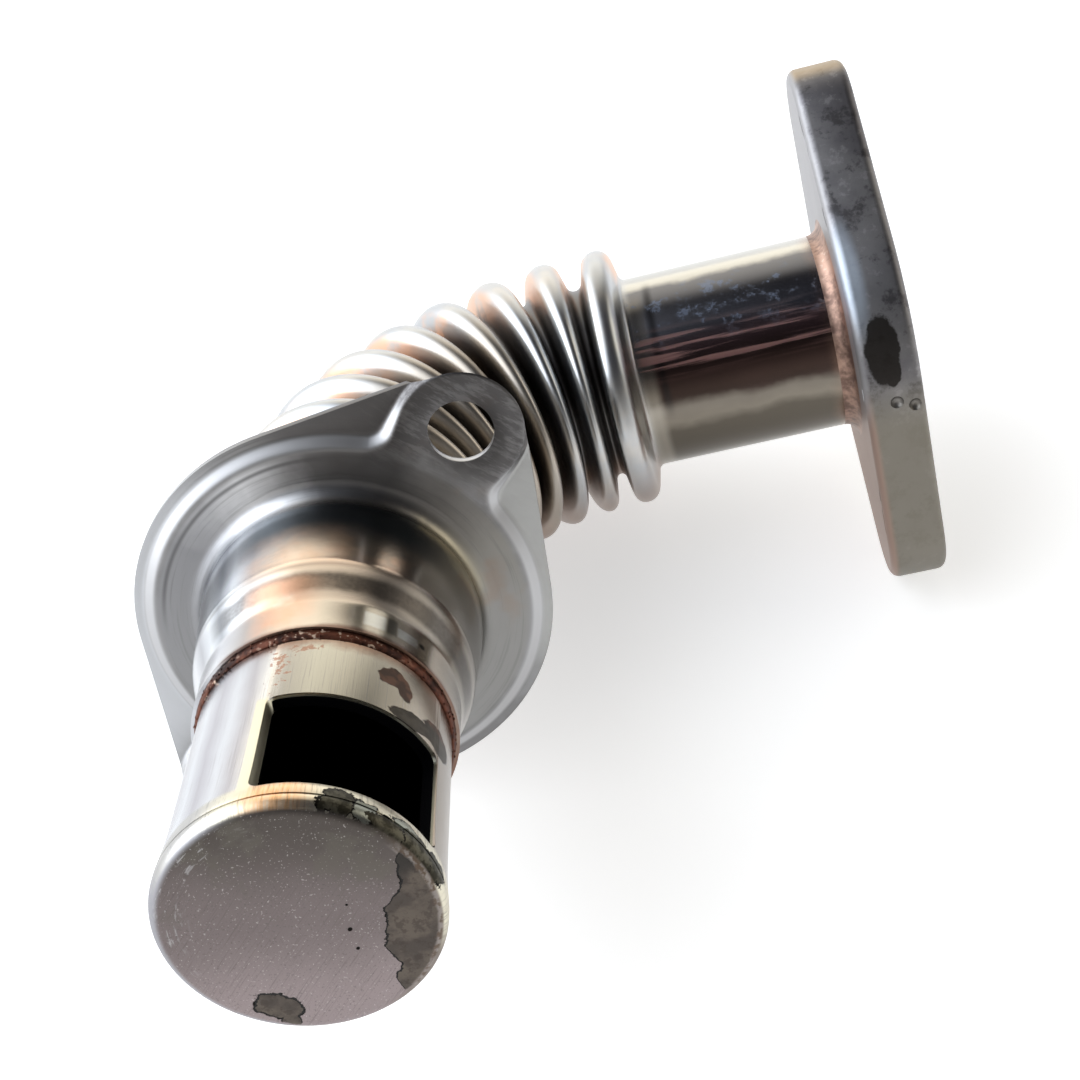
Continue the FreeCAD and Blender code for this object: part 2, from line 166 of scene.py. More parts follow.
class Graph:
    """A material's node tree under construction."""

    def __init__(self, name: str) -> None:
        """Makes an empty material with a Principled shader.

        Args:
            name: the material's name.
        """
        self.material = bpy.data.materials.new(name)
        self.material.use_nodes = True
        self.tree = self.material.node_tree
        self.tree.nodes.clear()
        self.shader = self.tree.nodes.new("ShaderNodeBsdfPrincipled")
        output = self.tree.nodes.new("ShaderNodeOutputMaterial")
        self.tree.links.new(self.shader.outputs[0], output.inputs["Surface"])

    def feed(self, socket: bpy.types.NodeSocket, value: Any) -> None:
        """Links a signal to a socket, or writes a number or colour on it.

        Args:
            socket: where the value goes.
            value: a signal, a number or a colour.
        """
        if isinstance(value, Signal):
            self.tree.links.new(value.socket, socket)
        elif isinstance(value, (tuple, list)) and socket.type == "RGBA" and len(value) == 3:
            socket.default_value = (*value, 1.0)
        else:
            socket.default_value = value

    def node(self, kind: str, settings: dict[str, Any], inputs: Any, output: int = 0) -> Signal:
        """Makes one node.

        Args:
            kind: the node's type.
            settings: its properties, set first; "stops" are a ramp's (place, colour) pairs.
            inputs: values or signals, in order or by socket number or name.
            output: which output to give.

        Returns:
            That output.
        """
        made = self.tree.nodes.new(kind)
        for key, value in settings.items():
            if key == "stops":
                ramp = made.color_ramp.elements
                while len(ramp) < len(value):
                    ramp.new(0.5)
                for element, (place, colour) in zip(ramp, value):
                    element.position = place
                    element.color = (*colour, 1.0)
            else:
                setattr(made, key, value)
        pairs = inputs.items() if isinstance(inputs, dict) else enumerate(inputs)
        for key, value in pairs:
            self.feed(made.inputs[key], value)
        return Signal(self, made.outputs[output])

    def place(self) -> Signal:
        """The point on the piece, in metres."""
        return self.node("ShaderNodeTexCoord", {}, {}, 3)

    def local(self, matrix: Matrix) -> tuple[Signal, Signal, Signal]:
        """The point's three coordinates in a local frame, in millimetres.

        Args:
            matrix: the frame laid down in the row frame, in millimetres.

        Returns:
            x, y and z.
        """
        origin = matrix.translation * METRE
        offset = self.node("ShaderNodeVectorMath", {"operation": "SUBTRACT"}, (self.place(), tuple(origin)))
        found = []
        for column in range(3):
            axis = Vector([matrix[row][column] for row in range(3)]) / METRE
            found.append(self.node("ShaderNodeVectorMath", {"operation": "DOT_PRODUCT"}, (offset, tuple(axis)), 1))
        return found[0], found[1], found[2]

    def vector(self, x: Any, y: Any, z: Any) -> Signal:
        """Three values as one vector."""
        return self.node("ShaderNodeCombineXYZ", {}, (x, y, z))

    def attribute(self, name: str, output: int = 2) -> Signal:
        """A value that the mesh carries; output 1 is its vector and 2 its number."""
        return self.node("ShaderNodeAttribute", {"attribute_name": name}, {}, output)

    def ramp(self, value: Signal, stops: Sequence[tuple[float, Colour]]) -> Signal:
        """Colour by a value, blended between stops.

        Args:
            value: what the stops are measured by.
            stops: places, rising, and their colours.

        Returns:
            The colour.
        """
        first, last = stops[0][0], stops[-1][0]
        placed = [((place - first) / (last - first), colour) for place, colour in stops]
        return self.node("ShaderNodeValToRGB", {"stops": placed}, ((value - first) / (last - first),))

    def noise(self, at: Signal, scale: float, detail: float = 2.0, rough: float = 0.5, twist: float = 0.0) -> Signal:
        """Smooth noise from 0 to 1.

        Args:
            at: where it is read.
            scale: how fine it is.
            detail: octaves.
            rough: weight of the finer octaves.
            twist: distortion.

        Returns:
            The noise.
        """
        return self.node("ShaderNodeTexNoise", {}, {"Vector": at, "Scale": scale, "Detail": detail,
                                                    "Roughness": rough, "Distortion": twist})

    def mix(self, first: Any, second: Any, share: Any) -> Signal:
        """Colour first where share is 0 and second where it is 1."""
        return self.node("ShaderNodeMix", {"data_type": "RGBA"}, {0: share, 6: first, 7: second}, 2)

    def tone(self, first: Any, second: Any, share: Any) -> Signal:
        """Number first where share is 0 and second where it is 1."""
        return self.node("ShaderNodeMix", {"data_type": "FLOAT"}, {0: share, 2: first, 3: second}, 0)

    def finish(self, colour: Any, rough: Any, metal: Any = 1.0, relief: Signal | None = None,
               height: float = 0.00002, strength: float = 1.0) -> bpy.types.Material:
        """Feeds the shader and gives the material.

        Args:
            colour: base colour.
            rough: roughness.
            metal: metallic share.
            relief: surface height from 0 to 1.
            height: what a relief of 1 stands for, in metres.
            strength: of the relief.

        Returns:
            The material.
        """
        self.feed(self.shader.inputs["Base Color"], colour)
        self.feed(self.shader.inputs["Roughness"], rough)
        self.feed(self.shader.inputs["Metallic"], metal)
        if relief is not None:
            bump = self.node("ShaderNodeBump", {}, {"Strength": strength, "Distance": height, "Height": relief})
            self.feed(self.shader.inputs["Normal"], bump)
        return self.material


@dataclass(frozen=True)
class Blot:
    """A worn patch on an unrolled surface, as a ragged ellipse.

    x and y are its centre, wide and tall its half sizes and turn_deg its turn, in the surface's own millimetres.
    """

    x: float
    y: float
    wide: float
    tall: float
    turn_deg: float = 0.0

    def reach(self, across: Signal, along: Signal) -> Signal:
        """Distance from the middle, 1 at the edge.

        Args:
            across: the surface's first coordinate.
            along: its second.

        Returns:
            The distance.
        """
        c, s = math.cos(math.radians(self.turn_deg)), math.sin(math.radians(self.turn_deg))
        dx, dy = across - self.x, along - self.y
        u, v = (dx * c + dy * s) / self.wide, (dy * c - dx * s) / self.tall
        return (u * u + v * v) ** 0.5


def nearest(blots: Sequence[Blot], across: Signal, along: Signal, ragged: Signal) -> Signal:
    """The least reach of several patches, made ragged.

    Args:
        blots: the patches.
        across: the surface's first coordinate.
        along: its second.
        ragged: what is added to the reach.

    Returns:
        Below 1 inside a patch.
    """
    found = blots[0].reach(across, along)
    for blot in blots[1:]:
        found = found.lowest(blot.reach(across, along))
    return found + ragged


# Meshes


def loft(bm: bmesh.types.BMesh, rings: Sequence[Sequence[Vector]],
         looped: bool = False) -> list[list[bmesh.types.BMVert]]:
    """Joins closed rings of equal length by quads.

    Args:
        bm: the mesh that gets them.
        rings: the points of each ring.
        looped: whether the last ring joins the first.

    Returns:
        The vertices of each ring.
    """
    made = [[bm.verts.new(p) for p in ring] for ring in rings]
    pairs = list(zip(made, made[1:])) + ([(made[-1], made[0])] if looped else [])
    for low, high in pairs:
        count = len(low)
        for k in range(count):
            bm.faces.new((low[k], low[(k + 1) % count], high[(k + 1) % count], high[k]))
    return made


def circle(radius: float, z: float, count: int, x: float = 0.0, y: float = 0.0) -> list[Vector]:
    """Points of a level circle.

    Args:
        radius: of the circle.
        z: its height.
        count: how many points.
        x: of its middle.
        y: of its middle.

    Returns:
        The points in order.
    """
    return [Vector((x + radius * math.cos(math.tau * k / count), y + radius * math.sin(math.tau * k / count), z))
            for k in range(count)]


def arc(centre: Point, radius: float, first_deg: float, last_deg: float, steps: int) -> list[Point]:
    """Points of a flat arc, both ends included.

    Args:
        centre: of the arc.
        radius: of the arc.
        first_deg: where it starts.
        last_deg: where it ends.
        steps: parts between the ends.

    Returns:
        The points in order.
    """
    angles = [math.radians(first_deg + (last_deg - first_deg) * k / steps) for k in range(steps + 1)]
    return [(centre[0] + radius * math.cos(a), centre[1] + radius * math.sin(a)) for a in angles]


def softened(points: Sequence[Point], passes: int) -> list[Point]:
    """Cuts an open line's corners round.

    Args:
        points: the line.
        passes: how often each corner is cut.

    Returns:
        The rounded line, with the same ends.
    """
    line = list(points)
    for _ in range(passes):
        cut = [line[0]]
        for (ax, ay), (bx, by) in zip(line, line[1:]):
            cut += [(0.75 * ax + 0.25 * bx, 0.75 * ay + 0.25 * by), (0.25 * ax + 0.75 * bx, 0.25 * ay + 0.75 * by)]
        line = cut + [line[-1]]
    return line


def to_object(bm: bmesh.types.BMesh, name: str, place: Matrix) -> bpy.types.Object:
    """Turns a millimetre mesh into an object whose mesh lies in the row frame.

    Args:
        bm: the mesh, which is freed.
        name: the object's name.
        place: the mesh's frame in the row frame.

    Returns:
        The object, at the origin.
    """
    bmesh.ops.remove_doubles(bm, verts=bm.verts, dist=0.0005)
    bmesh.ops.recalc_face_normals(bm, faces=bm.faces)
    bm.transform(Matrix.Scale(METRE, 4) @ place)
    mesh = bpy.data.meshes.new(name)
    bm.to_mesh(mesh)
    bm.free()
    made = bpy.data.objects.new(name, mesh)
    bpy.context.scene.collection.objects.link(made)
    return made


def settle(thing: bpy.types.Object, sharp_deg: float = 32.0) -> None:
    """Applies every modifier and shades the mesh smooth up to a corner angle.

    Args:
        thing: the object.
        sharp_deg: the angle from which an edge stays sharp.
    """
    bpy.context.view_layer.update()
    graph = bpy.context.evaluated_depsgraph_get()
    mesh = bpy.data.meshes.new_from_object(thing.evaluated_get(graph))
    thing.modifiers.clear()
    old, thing.data = thing.data, mesh
    bpy.data.meshes.remove(old)
    mesh.name = thing.name
    mesh.shade_smooth()
    mesh.set_sharp_from_angle(angle=math.radians(sharp_deg))


def cut_away(thing: bpy.types.Object, cutter: bpy.types.Object) -> None:
    """Takes the cutter out of the object and deletes the cutter.

    Args:
        thing: the object that is cut.
        cutter: the shape that is taken out.
    """
    modifier = thing.modifiers.new("cut", "BOOLEAN")
    modifier.operation, modifier.solver, modifier.object = "DIFFERENCE", "EXACT", cutter
    settle(thing)
    bpy.data.objects.remove(cutter)


def break_edges(thing: bpy.types.Object, width: float, angle_deg: float = 40.0, segments: int = 2) -> None:
    """Rounds every edge over an angle by a small width in millimetres.

    Args:
        thing: the object.
        width: of the rounding, in millimetres.
        angle_deg: the least angle of an edge that is rounded.
        segments: flats across the rounding.
    """
    modifier = thing.modifiers.new("edges", "BEVEL")
    modifier.width, modifier.segments = width * METRE, segments
    modifier.limit_method, modifier.angle_limit = "ANGLE", math.radians(angle_deg)
    modifier.use_clamp_overlap = True


def dress(thing: bpy.types.Object, material: bpy.types.Material, slot: Slot, *nodes: str) -> bpy.types.Object:
    """Gives a finished piece its material and its place in the frame.

    Args:
        thing: the piece.
        material: its look.
        slot: the record's slot for it; not used.
        nodes: the CAD nodes that it stands for.

    Returns:
        The piece.
    """
    thing.data.materials.clear()
    thing.data.materials.append(material)
    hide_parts(*nodes)
    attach(thing, "root")
    LOG.info("%s: %d faces", thing.name, len(thing.data.polygons))
    return thing


# Outlines of the two flanges


def ear_loop(radius: float, ear: float, distance: float, inset: float = 0.0) -> list[Point]:
    """Round middle and two round ears joined by tangents, as 256 points.

    Args:
        radius: of the middle.
        ear: radius of each ear.
        distance: of the ears from the middle.
        inset: how far the outline is drawn in.

    Returns:
        The points, counter-clockwise.
    """
    tilt = math.degrees(math.asin((radius - ear) / distance))
    mid, end = radius - inset, ear - inset
    points: list[Point] = []
    for turn in (0, 180):
        points += arc((0, 0), mid, turn + 90 - tilt, turn + 90 + tilt, 48)
        side = -1 if turn == 0 else 1
        ends = arc((side * distance, 0), end, turn + 90 + tilt, turn + 270 - tilt, 32)
        points += along_line(points[-1], ends[0], 24) + ends
        after = arc((0, 0), mid, turn + 270 - tilt, turn + 270 + tilt, 1)[0]
        points += along_line(ends[-1], after, 24)
    return points


def necked_loop(radius: float, half: float, distance: float, fillet: float, inset: float = 0.0) -> list[Point]:
    """Round middle with a straight round-ended arm to each side and hollow corners.

    Args:
        radius: of the middle.
        half: half the width of an arm.
        distance: of an arm's round end from the middle.
        fillet: of the hollow corners.
        inset: how far the outline is drawn in.

    Returns:
        The points, counter-clockwise.
    """
    y = half + fillet
    x = math.sqrt((radius + fillet) ** 2 - y * y)
    turn = math.degrees(math.atan2(y, x))
    mid, end, hollow = radius - inset, half - inset, fillet + inset
    points: list[Point] = []
    for flip in (0, 180):
        side = -1 if flip == 0 else 1
        points += arc((0, 0), mid, flip + turn, flip + 180 - turn, 60)
        points += arc((side * x, -side * y), hollow, flip - turn, flip - 90, 10)[1:]
        ends = arc((side * distance, 0), end, flip + 90, flip + 270, 32)
        points += along_line(points[-1], ends[0], 10) + ends
        corner = arc((side * x, side * y), hollow, flip + 90, flip + turn, 10)
        points += along_line(ends[-1], corner[0], 10) + corner[:-1]
    return points


def along_line(start: Point, end: Point, steps: int) -> list[Point]:
    """Points between two, neither of them included.

    Args:
        start: one end.
        end: the other end.
        steps: parts between the ends.

    Returns:
        The points in order.
    """
    return [(start[0] + (end[0] - start[0]) * k / steps, start[1] + (end[1] - start[1]) * k / steps)
            for k in range(1, steps)]


def inside(point: Point, loop: Sequence[Point]) -> bool:
    """Whether a point lies in a closed outline.

    Args:
        point: the point asked about.
        loop: the outline's points in order.

    Returns:
        True when the point lies in it.
    """
    x, y = point
    found = False
    for (ax, ay), (bx, by) in zip(loop, list(loop[1:]) + [loop[0]]):
        if (ay > y) != (by > y) and x < (bx - ax) * (y - ay) / (by - ay) + ax:
            found = not found
    return found


def plan(bm: bmesh.types.BMesh, outline: Sequence[Point], holes: Sequence[Sequence[Point]],
         lines: Sequence[Sequence[Point]], level: Callable[[float, float], float]) -> None:
    """Fills an outline with triangles that follow some lines, at a height given by a rule.

    Args:
        bm: the mesh that gets them.
        outline: the closed outline.
        holes: closed outlines that stay open.
        lines: closed lines whose points are kept.
        level: height at a point.
    """
    points: list[Vector] = []
    edges: list[tuple[int, int]] = []
    for loop in [outline, *holes, *lines]:
        first, count = len(points), len(loop)
        points += [Vector(p) for p in loop]
        edges += [(first + k, first + (k + 1) % count) for k in range(count)]
    found, _, faces, *_ = delaunay_2d_cdt(points, edges, [], 0, 1e-5)
    verts = [bm.verts.new((p.x, p.y, level(p.x, p.y))) for p in found]
    for face in faces:
        middle = tuple(sum((found[k] for k in face), Vector((0, 0))) / len(face))
        if inside(middle, outline) and not any(inside(middle, hole) for hole in holes):
            bm.faces.new([verts[k] for k in face])
    for vert in [v for v in verts if not v.link_faces]:
        bm.verts.remove(vert)


# Finishes


@dataclass(frozen=True)
class LipFinish:
    """The brushed, flaked band that runs round the nozzle's widened end and the cap's side."""

    cream: Colour = (0.66, 0.62, 0.50)
    gold: Colour = (0.82, 0.46, 0.22)
    flaked: Colour = (0.034, 0.031, 0.022)
    peeled: Colour = (0.30, 0.31, 0.27)
    lost: tuple[Blot, ...] = (Blot(2.7, 46.9, 1.5, 1.35), Blot(-2.0, 47.7, 2.0, 0.95, -8),
                              Blot(-5.4, 47.3, 2.0, 1.3), Blot(-8.3, 46.9, 1.5, 1.3))
    bright: tuple[Blot, ...] = (Blot(0.4, 47.2, 1.15, 1.05), Blot(-3.9, 46.3, 1.6, 0.55))
    brushed_dark: Colour = (0.26, 0.24, 0.20)
    grey_steel: Colour = (0.34, 0.34, 0.35)
    flaked_light: Colour = (0.095, 0.088, 0.066)
    chip_edge: Colour = (0.008, 0.007, 0.006)

    def paint(self, g: Graph, turn: Signal, z: Signal, cloud: Signal) -> tuple[Signal, Signal]:
        """Paints the band.

        Args:
            g: the graph.
            turn: length round the nozzle in millimetres.
            z: height along the nozzle.
            cloud: noise that frays the patches.

        Returns:
            The colour and where the plating is lost.
        """
        worked = g.noise(g.vector(turn * 1.6, z * 0.15, 3.0), 2.0, 3.0, 0.65)
        colour = g.mix(self.cream, self.gold, turn.band(5.5, 10.5, 1.6) * (0.45 + worked.between(0.35, 0.6) * 0.5))
        colour = g.mix(colour, self.brushed_dark, (worked - 0.5).between(0.02, 0.16) * 0.6)
        colour = g.mix(colour, self.grey_steel, turn.between(11.5, 16.0) * 0.8)
        chips = g.noise(g.vector(turn * 0.8, z * 0.8, 1.0), 1.3, 4.0, 0.65)
        ragged = (cloud - 0.5) * 1.2 + (chips - 0.5) * 1.6
        light, dark = nearest(self.bright, turn, z, ragged), nearest(self.lost, turn, z, ragged)
        colour = g.mix(colour, self.peeled, light.between(1.05, 0.98))
        bare = dark.between(1.05, 0.98)
        colour = g.mix(colour, g.mix(self.flaked, self.flaked_light, chips.between(0.42, 0.6)), bare)
        line = dark.lowest(light).band(0.96, 1.12, 0.04)
        return g.mix(colour, self.chip_edge, line), bare.highest(line)


@dataclass(frozen=True)
class NozzleFinish:
    """Polished tube with painted reflection bands round it, tarnished toward the collar, flaked on its widened end,
    with a painted highlight and a painted shade on the window's cut faces and painted black shade inside.
    """

    brown: Colour = (0.05, 0.026, 0.018)
    inside_painted_shade: Colour = (0.004, 0.004, 0.005)
    tarnish: tuple[Blot, ...] = (Blot(-1.3, 26.4, 2.1, 1.5, 15), Blot(-2.6, 27.4, 0.9, 1.3, 0),
                                 Blot(-4.7, 30.9, 3.4, 0.9, 12), Blot(-7.9, 29.9, 2.3, 1.8, 0))
    specks: tuple[Blot, ...] = (Blot(9.6, 27.4, 1.0, 3.4, 0), Blot(7.6, 25.0, 1.6, 0.7, 0))
    # Painted reflection bands: colour by angle round the tube in degrees, for the room reflected in the polished steel.
    reflection_bands: tuple[tuple[float, Colour], ...] = (
        (-60.0, (0.28, 0.25, 0.22)), (-35.0, (0.30, 0.26, 0.22)), (-12.0, (0.38, 0.34, 0.28)),
        (8.0, (0.50, 0.47, 0.39)), (30.0, (0.55, 0.53, 0.45)), (42.0, (0.42, 0.40, 0.36)),
        (49.0, (0.66, 0.65, 0.62)), (56.0, (0.42, 0.40, 0.41)), (64.0, (0.58, 0.59, 0.61)),
        (74.0, (0.38, 0.37, 0.40)), (84.0, (0.54, 0.56, 0.59)), (94.0, (0.31, 0.31, 0.34)),
        (104.0, (0.48, 0.50, 0.53)), (116.0, (0.20, 0.20, 0.22)), (180.0, (0.50, 0.50, 0.51)))
    drawn_line: Colour = (0.30, 0.28, 0.28)
    light_brown: Colour = (0.115, 0.055, 0.035)
    olive: Colour = (0.028, 0.023, 0.017)
    light_olive: Colour = (0.05, 0.042, 0.032)
    stain_edge: Colour = (0.02, 0.013, 0.01)
    speck: Colour = (0.40, 0.19, 0.11)
    heat_dark: Colour = (0.16, 0.06, 0.035)
    heat_light: Colour = (0.36, 0.19, 0.12)
    # Painted shade and painted highlight on the window's two cut faces.
    cut_face_shade: Colour = (0.26, 0.25, 0.20)
    cut_face_highlight: Colour = (0.70, 0.66, 0.50)

    def material(self) -> bpy.types.Material:
        """Builds the material.

        Returns:
            The material.
        """
        g = Graph("nozzle steel")
        x, y, z = g.local(NOZZLE)
        radius = (x * x + y * y) ** 0.5
        turn = x.maths("ARCTAN2", y, x) * TUBE_RADIUS
        at = g.place()
        fine = g.noise(at, 900.0, 3.0)
        cloud = g.noise(at, 160.0, 4.0, 0.6)
        lines = g.noise(g.vector(turn * 3.0, z * 0.05, 0.0), 2.2, 3.0, 0.6)
        ragged = (cloud - 0.5) * 1.6 + (fine - 0.5) * 0.5
        # Painted reflections: the tube's colour follows the angle round it.
        colour = g.ramp(turn / TUBE_RADIUS * math.degrees(1.0) + (cloud - 0.5) * 7.0, self.reflection_bands)
        colour = g.mix(colour, self.drawn_line, (lines - 0.5).between(0.04, 0.22) * 0.5)
        stain = nearest(self.tarnish, turn, z, ragged)
        dark = stain.between(1.06, 0.96)
        rusty = g.mix(self.brown, self.light_brown, fine.between(0.4, 0.65))
        olive = g.mix(self.olive, self.light_olive, fine.between(0.4, 0.65))
        colour = g.mix(colour, g.mix(rusty, olive, z.between(28.4, 29.4)), dark * 0.97)
        colour = g.mix(colour, self.stain_edge, stain.band(0.94, 1.08, 0.04) * z.between(28.4, 29.4) * 0.8)
        grains = g.noise(g.vector(turn * 0.9, z * 0.9, 5.0), 1.7, 3.0, 0.6)
        rust = nearest(self.specks, turn, z, (grains - 0.42) * 5.0).between(1.05, 0.8)
        colour = g.mix(colour, self.speck, rust * 0.75)
        heat = (z + cloud * 4.0).between(27.4, 25.4) * turn.between(17.0, 13.0)
        colour = g.mix(colour, g.mix(self.heat_dark, self.heat_light, fine), heat * 0.75)
        lip = z.between(44.6, 45.4)
        band, bare = LipFinish().paint(g, turn, z, cloud)
        colour = g.mix(colour, band, lip)
        bare = bare * lip
        side = turn.between(10.0, 10.25)
        burr = turn.band(10.2, 11.35, 0.12) * z.band(32.2, 45.4, 0.4)
        cut = radius.between(12.42, 12.3).highest(burr * (0.75 + lines * 0.4))
        # Painted highlight on the window's left cut face and painted shade on its right one.
        colour = g.mix(colour, g.mix(self.cut_face_shade, self.cut_face_highlight, turn.between(4.0, 8.0)), cut)
        # Painted shade: the inner wall is painted near-black where no light reaches it.
        inner = (g.tone(12.16, 11.08, side) - radius).between(0.0, 0.08)
        colour = g.mix(colour, self.inside_painted_shade, inner)
        rough = g.tone(0.17 + 0.08 * lines, 0.30, lip)
        rough = g.tone(rough, 0.45, dark.highest(bare).highest(cut * 0.6))
        rough = g.tone(rough, 0.9, inner)
        metal = g.tone(1.0, 0.6, dark.highest(rust).highest(bare))
        metal = metal.highest(inner)
        relief = lines * 0.4 + (1.0 - bare) * 0.9 + cloud * 0.3 + (1.0 - dark) * 0.3
        return g.finish(colour, rough, metal, relief, 0.00004, 0.6)


@dataclass(frozen=True)
class CapFinish:
    """Satin cap with fine sparkle, brushed lines and dark flaked patches at its edge, painted light and shade across
    its face and a painted highlight on part of its rim.
    """

    # steel, light and shade: the cap's face as painted light and painted shade.
    steel: Colour = (0.185, 0.155, 0.152)
    light: Colour = (0.30, 0.25, 0.249)
    shade: Colour = (0.09, 0.078, 0.07)
    flaked: Colour = (0.07, 0.055, 0.045)
    lost: tuple[Point, ...] = ((-104.0, 13.4), (-98.0, 10.1), (-88.0, 9.6), (-80.0, 7.8), (-66.0, 7.5), (-47.0, 7.6),
                               (-34.0, 10.0), (-21.0, 10.9), (-14.0, 13.4))
    flakes: tuple[Blot, ...] = (Blot(-9.6, -2.9, 1.4, 2.3, 12), Blot(-10.6, -4.6, 0.9, 0.9, 0))
    pits: tuple[Blot, ...] = (Blot(1.6, -4.12, 0.24, 0.2, 0), Blot(0.0, -5.72, 0.2, 0.16, 0),
                              Blot(3.9, -2.6, 0.12, 0.12, 0))
    glint: Colour = (0.56, 0.52, 0.50)
    dark_grain: Colour = (0.09, 0.08, 0.075)
    brush_line: Colour = (0.12, 0.10, 0.095)
    smudge: Colour = (0.13, 0.12, 0.10)
    scuff_light: Colour = (0.42, 0.41, 0.41)
    scuff_dark: Colour = (0.10, 0.09, 0.085)
    rim_painted_highlight: Colour = (0.36, 0.36, 0.385)
    brown_rim: Colour = (0.20, 0.165, 0.135)
    flaked_light: Colour = (0.125, 0.10, 0.078)
    flaked_grain: Colour = (0.05, 0.035, 0.028)
    strip_light: Colour = (0.30, 0.27, 0.25)
    strip_dark: Colour = (0.12, 0.085, 0.06)
    burnt: Colour = (0.018, 0.015, 0.012)
    pit_black: Colour = (0.006, 0.005, 0.004)

    def limit(self, g: Graph, turn: Signal) -> Signal:
        """Radius outside which the plating is lost, by the angle round the cap.

        Args:
            g: the graph.
            turn: the angle in degrees.

        Returns:
            The radius.
        """
        most = max(r for _, r in self.lost)
        return g.ramp(turn, [(a, (r / most,) * 3) for a, r in self.lost]) * most

    def material(self) -> bpy.types.Material:
        """Builds the material.

        Returns:
            The material.
        """
        g = Graph("cap steel")
        x, y, z = g.local(NOZZLE)
        radius = (x * x + y * y) ** 0.5
        at = g.place()
        cloud = g.noise(at, 320.0, 5.0, 0.62)
        sparkle = g.noise(at, 5200.0, 1.0)
        wide = g.noise(at, 60.0, 2.0)
        brushed = g.noise(g.vector(x * 0.06, y * 2.4, 0.0), 3.0, 3.0, 0.6)
        frayed = g.noise(at, 1300.0, 3.0, 0.6)
        turn = x.maths("ARCTAN2", y, x) * math.degrees(1.0)
        depth = self.limit(g, turn) - radius + (cloud - 0.5) * 2.2 + (frayed - 0.5) * 0.9
        depth = depth.lowest((nearest(self.flakes, x, y, (cloud - 0.5) * 1.3 + (frayed - 0.5) * 0.4) - 1.0) * 1.6)
        bare = depth.between(0.06, -0.02) * (radius + (frayed - 0.5) * 0.8).between(12.0, 11.7)
        rim = depth.band(-0.14, 0.10, 0.04) * radius.between(11.9, 11.6)
        pit = nearest(self.pits, x, y, (cloud - 0.5) * 0.3).between(1.2, 0.8)
        # Painted light and shade: the face is lighter toward one side and darker toward the other.
        up = (x * 0.84 + y * 0.54) + (wide - 0.5) * 10.0
        colour = g.mix(self.light, self.steel, up.between(-10.0, 1.0))
        colour = g.mix(colour, self.shade, up.between(1.0, 12.0))
        colour = g.mix(colour, self.glint, sparkle.between(0.66, 0.74) * 0.5)
        colour = g.mix(colour, self.dark_grain, sparkle.between(0.37, 0.29) * 0.4)
        colour = g.mix(colour, self.brush_line, (brushed - 0.5).between(0.03, 0.2) * 0.45)
        colour = g.mix(colour, self.smudge, (cloud * wide).between(0.30, 0.40) * up.between(-2.0, 6.0) * 0.5)
        scuff = g.noise(g.vector(radius * 1.2, turn * 0.03, 1.0), 2.2, 4.0, 0.7).between(0.54, 0.66)
        colour = g.mix(colour, self.scuff_light, scuff * radius.between(8.5, 11.5)
                       * turn.band(60.0, 150.0, 20.0) * frayed.between(0.42, 0.55) * 0.7)
        colour = g.mix(colour, self.scuff_dark, scuff * radius.between(9.0, 12.0)
                       * turn.band(80.0, 150.0, 20.0) * frayed.between(0.5, 0.4) * 0.6)
        edge = radius.between(11.7, 12.3)
        # Painted highlight on the rim over the side that faces the light.
        rim_highlight_side = turn.band(62.0, 178.0, 14.0).highest(turn.between(-150.0, -165.0))
        colour = g.mix(colour, self.rim_painted_highlight, edge * rim_highlight_side * 0.8)
        colour = g.mix(colour, self.brown_rim, edge * turn.band(-110.0, -10.0, 12.0) * 0.8)
        side = z.between(48.18, 47.95)
        band, lost = LipFinish().paint(g, turn * math.radians(TUBE_RADIUS), z, cloud)
        front = turn.band(-70.0, 100.0, 10.0)
        colour = g.mix(colour, band, side * front)
        brown = g.mix(self.flaked, self.flaked_light, cloud.between(0.4, 0.6))
        brown = g.mix(brown, self.flaked_grain, frayed.between(0.5, 0.62) * 0.6)
        strip = radius.band(11.5, 12.3, 0.15) * turn.band(-98.0, -16.0, 6.0)
        colour = g.mix(colour, g.mix(self.strip_light, self.strip_dark, frayed.between(0.42, 0.6)), strip * 0.8)
        colour = g.mix(colour, g.mix(brown, self.burnt, turn.between(-34.0, -24.0) * 0.8), bare)
        colour = g.mix(colour, self.pit_black, rim.highest(pit))
        rough = g.tone(0.42 + 0.12 * sparkle, 0.5, bare)
        rough = g.tone(rough, 0.30, side * front * (1.0 - lost))
        metal = 1.0 - bare * 0.5
        relief = sparkle * 0.4 + (1.0 - bare) * 1.6 + (1.0 - pit) * 1.0 + brushed * 0.25 + cloud * 0.3
        return g.finish(colour, rough, metal, relief, 0.00003, 0.7)


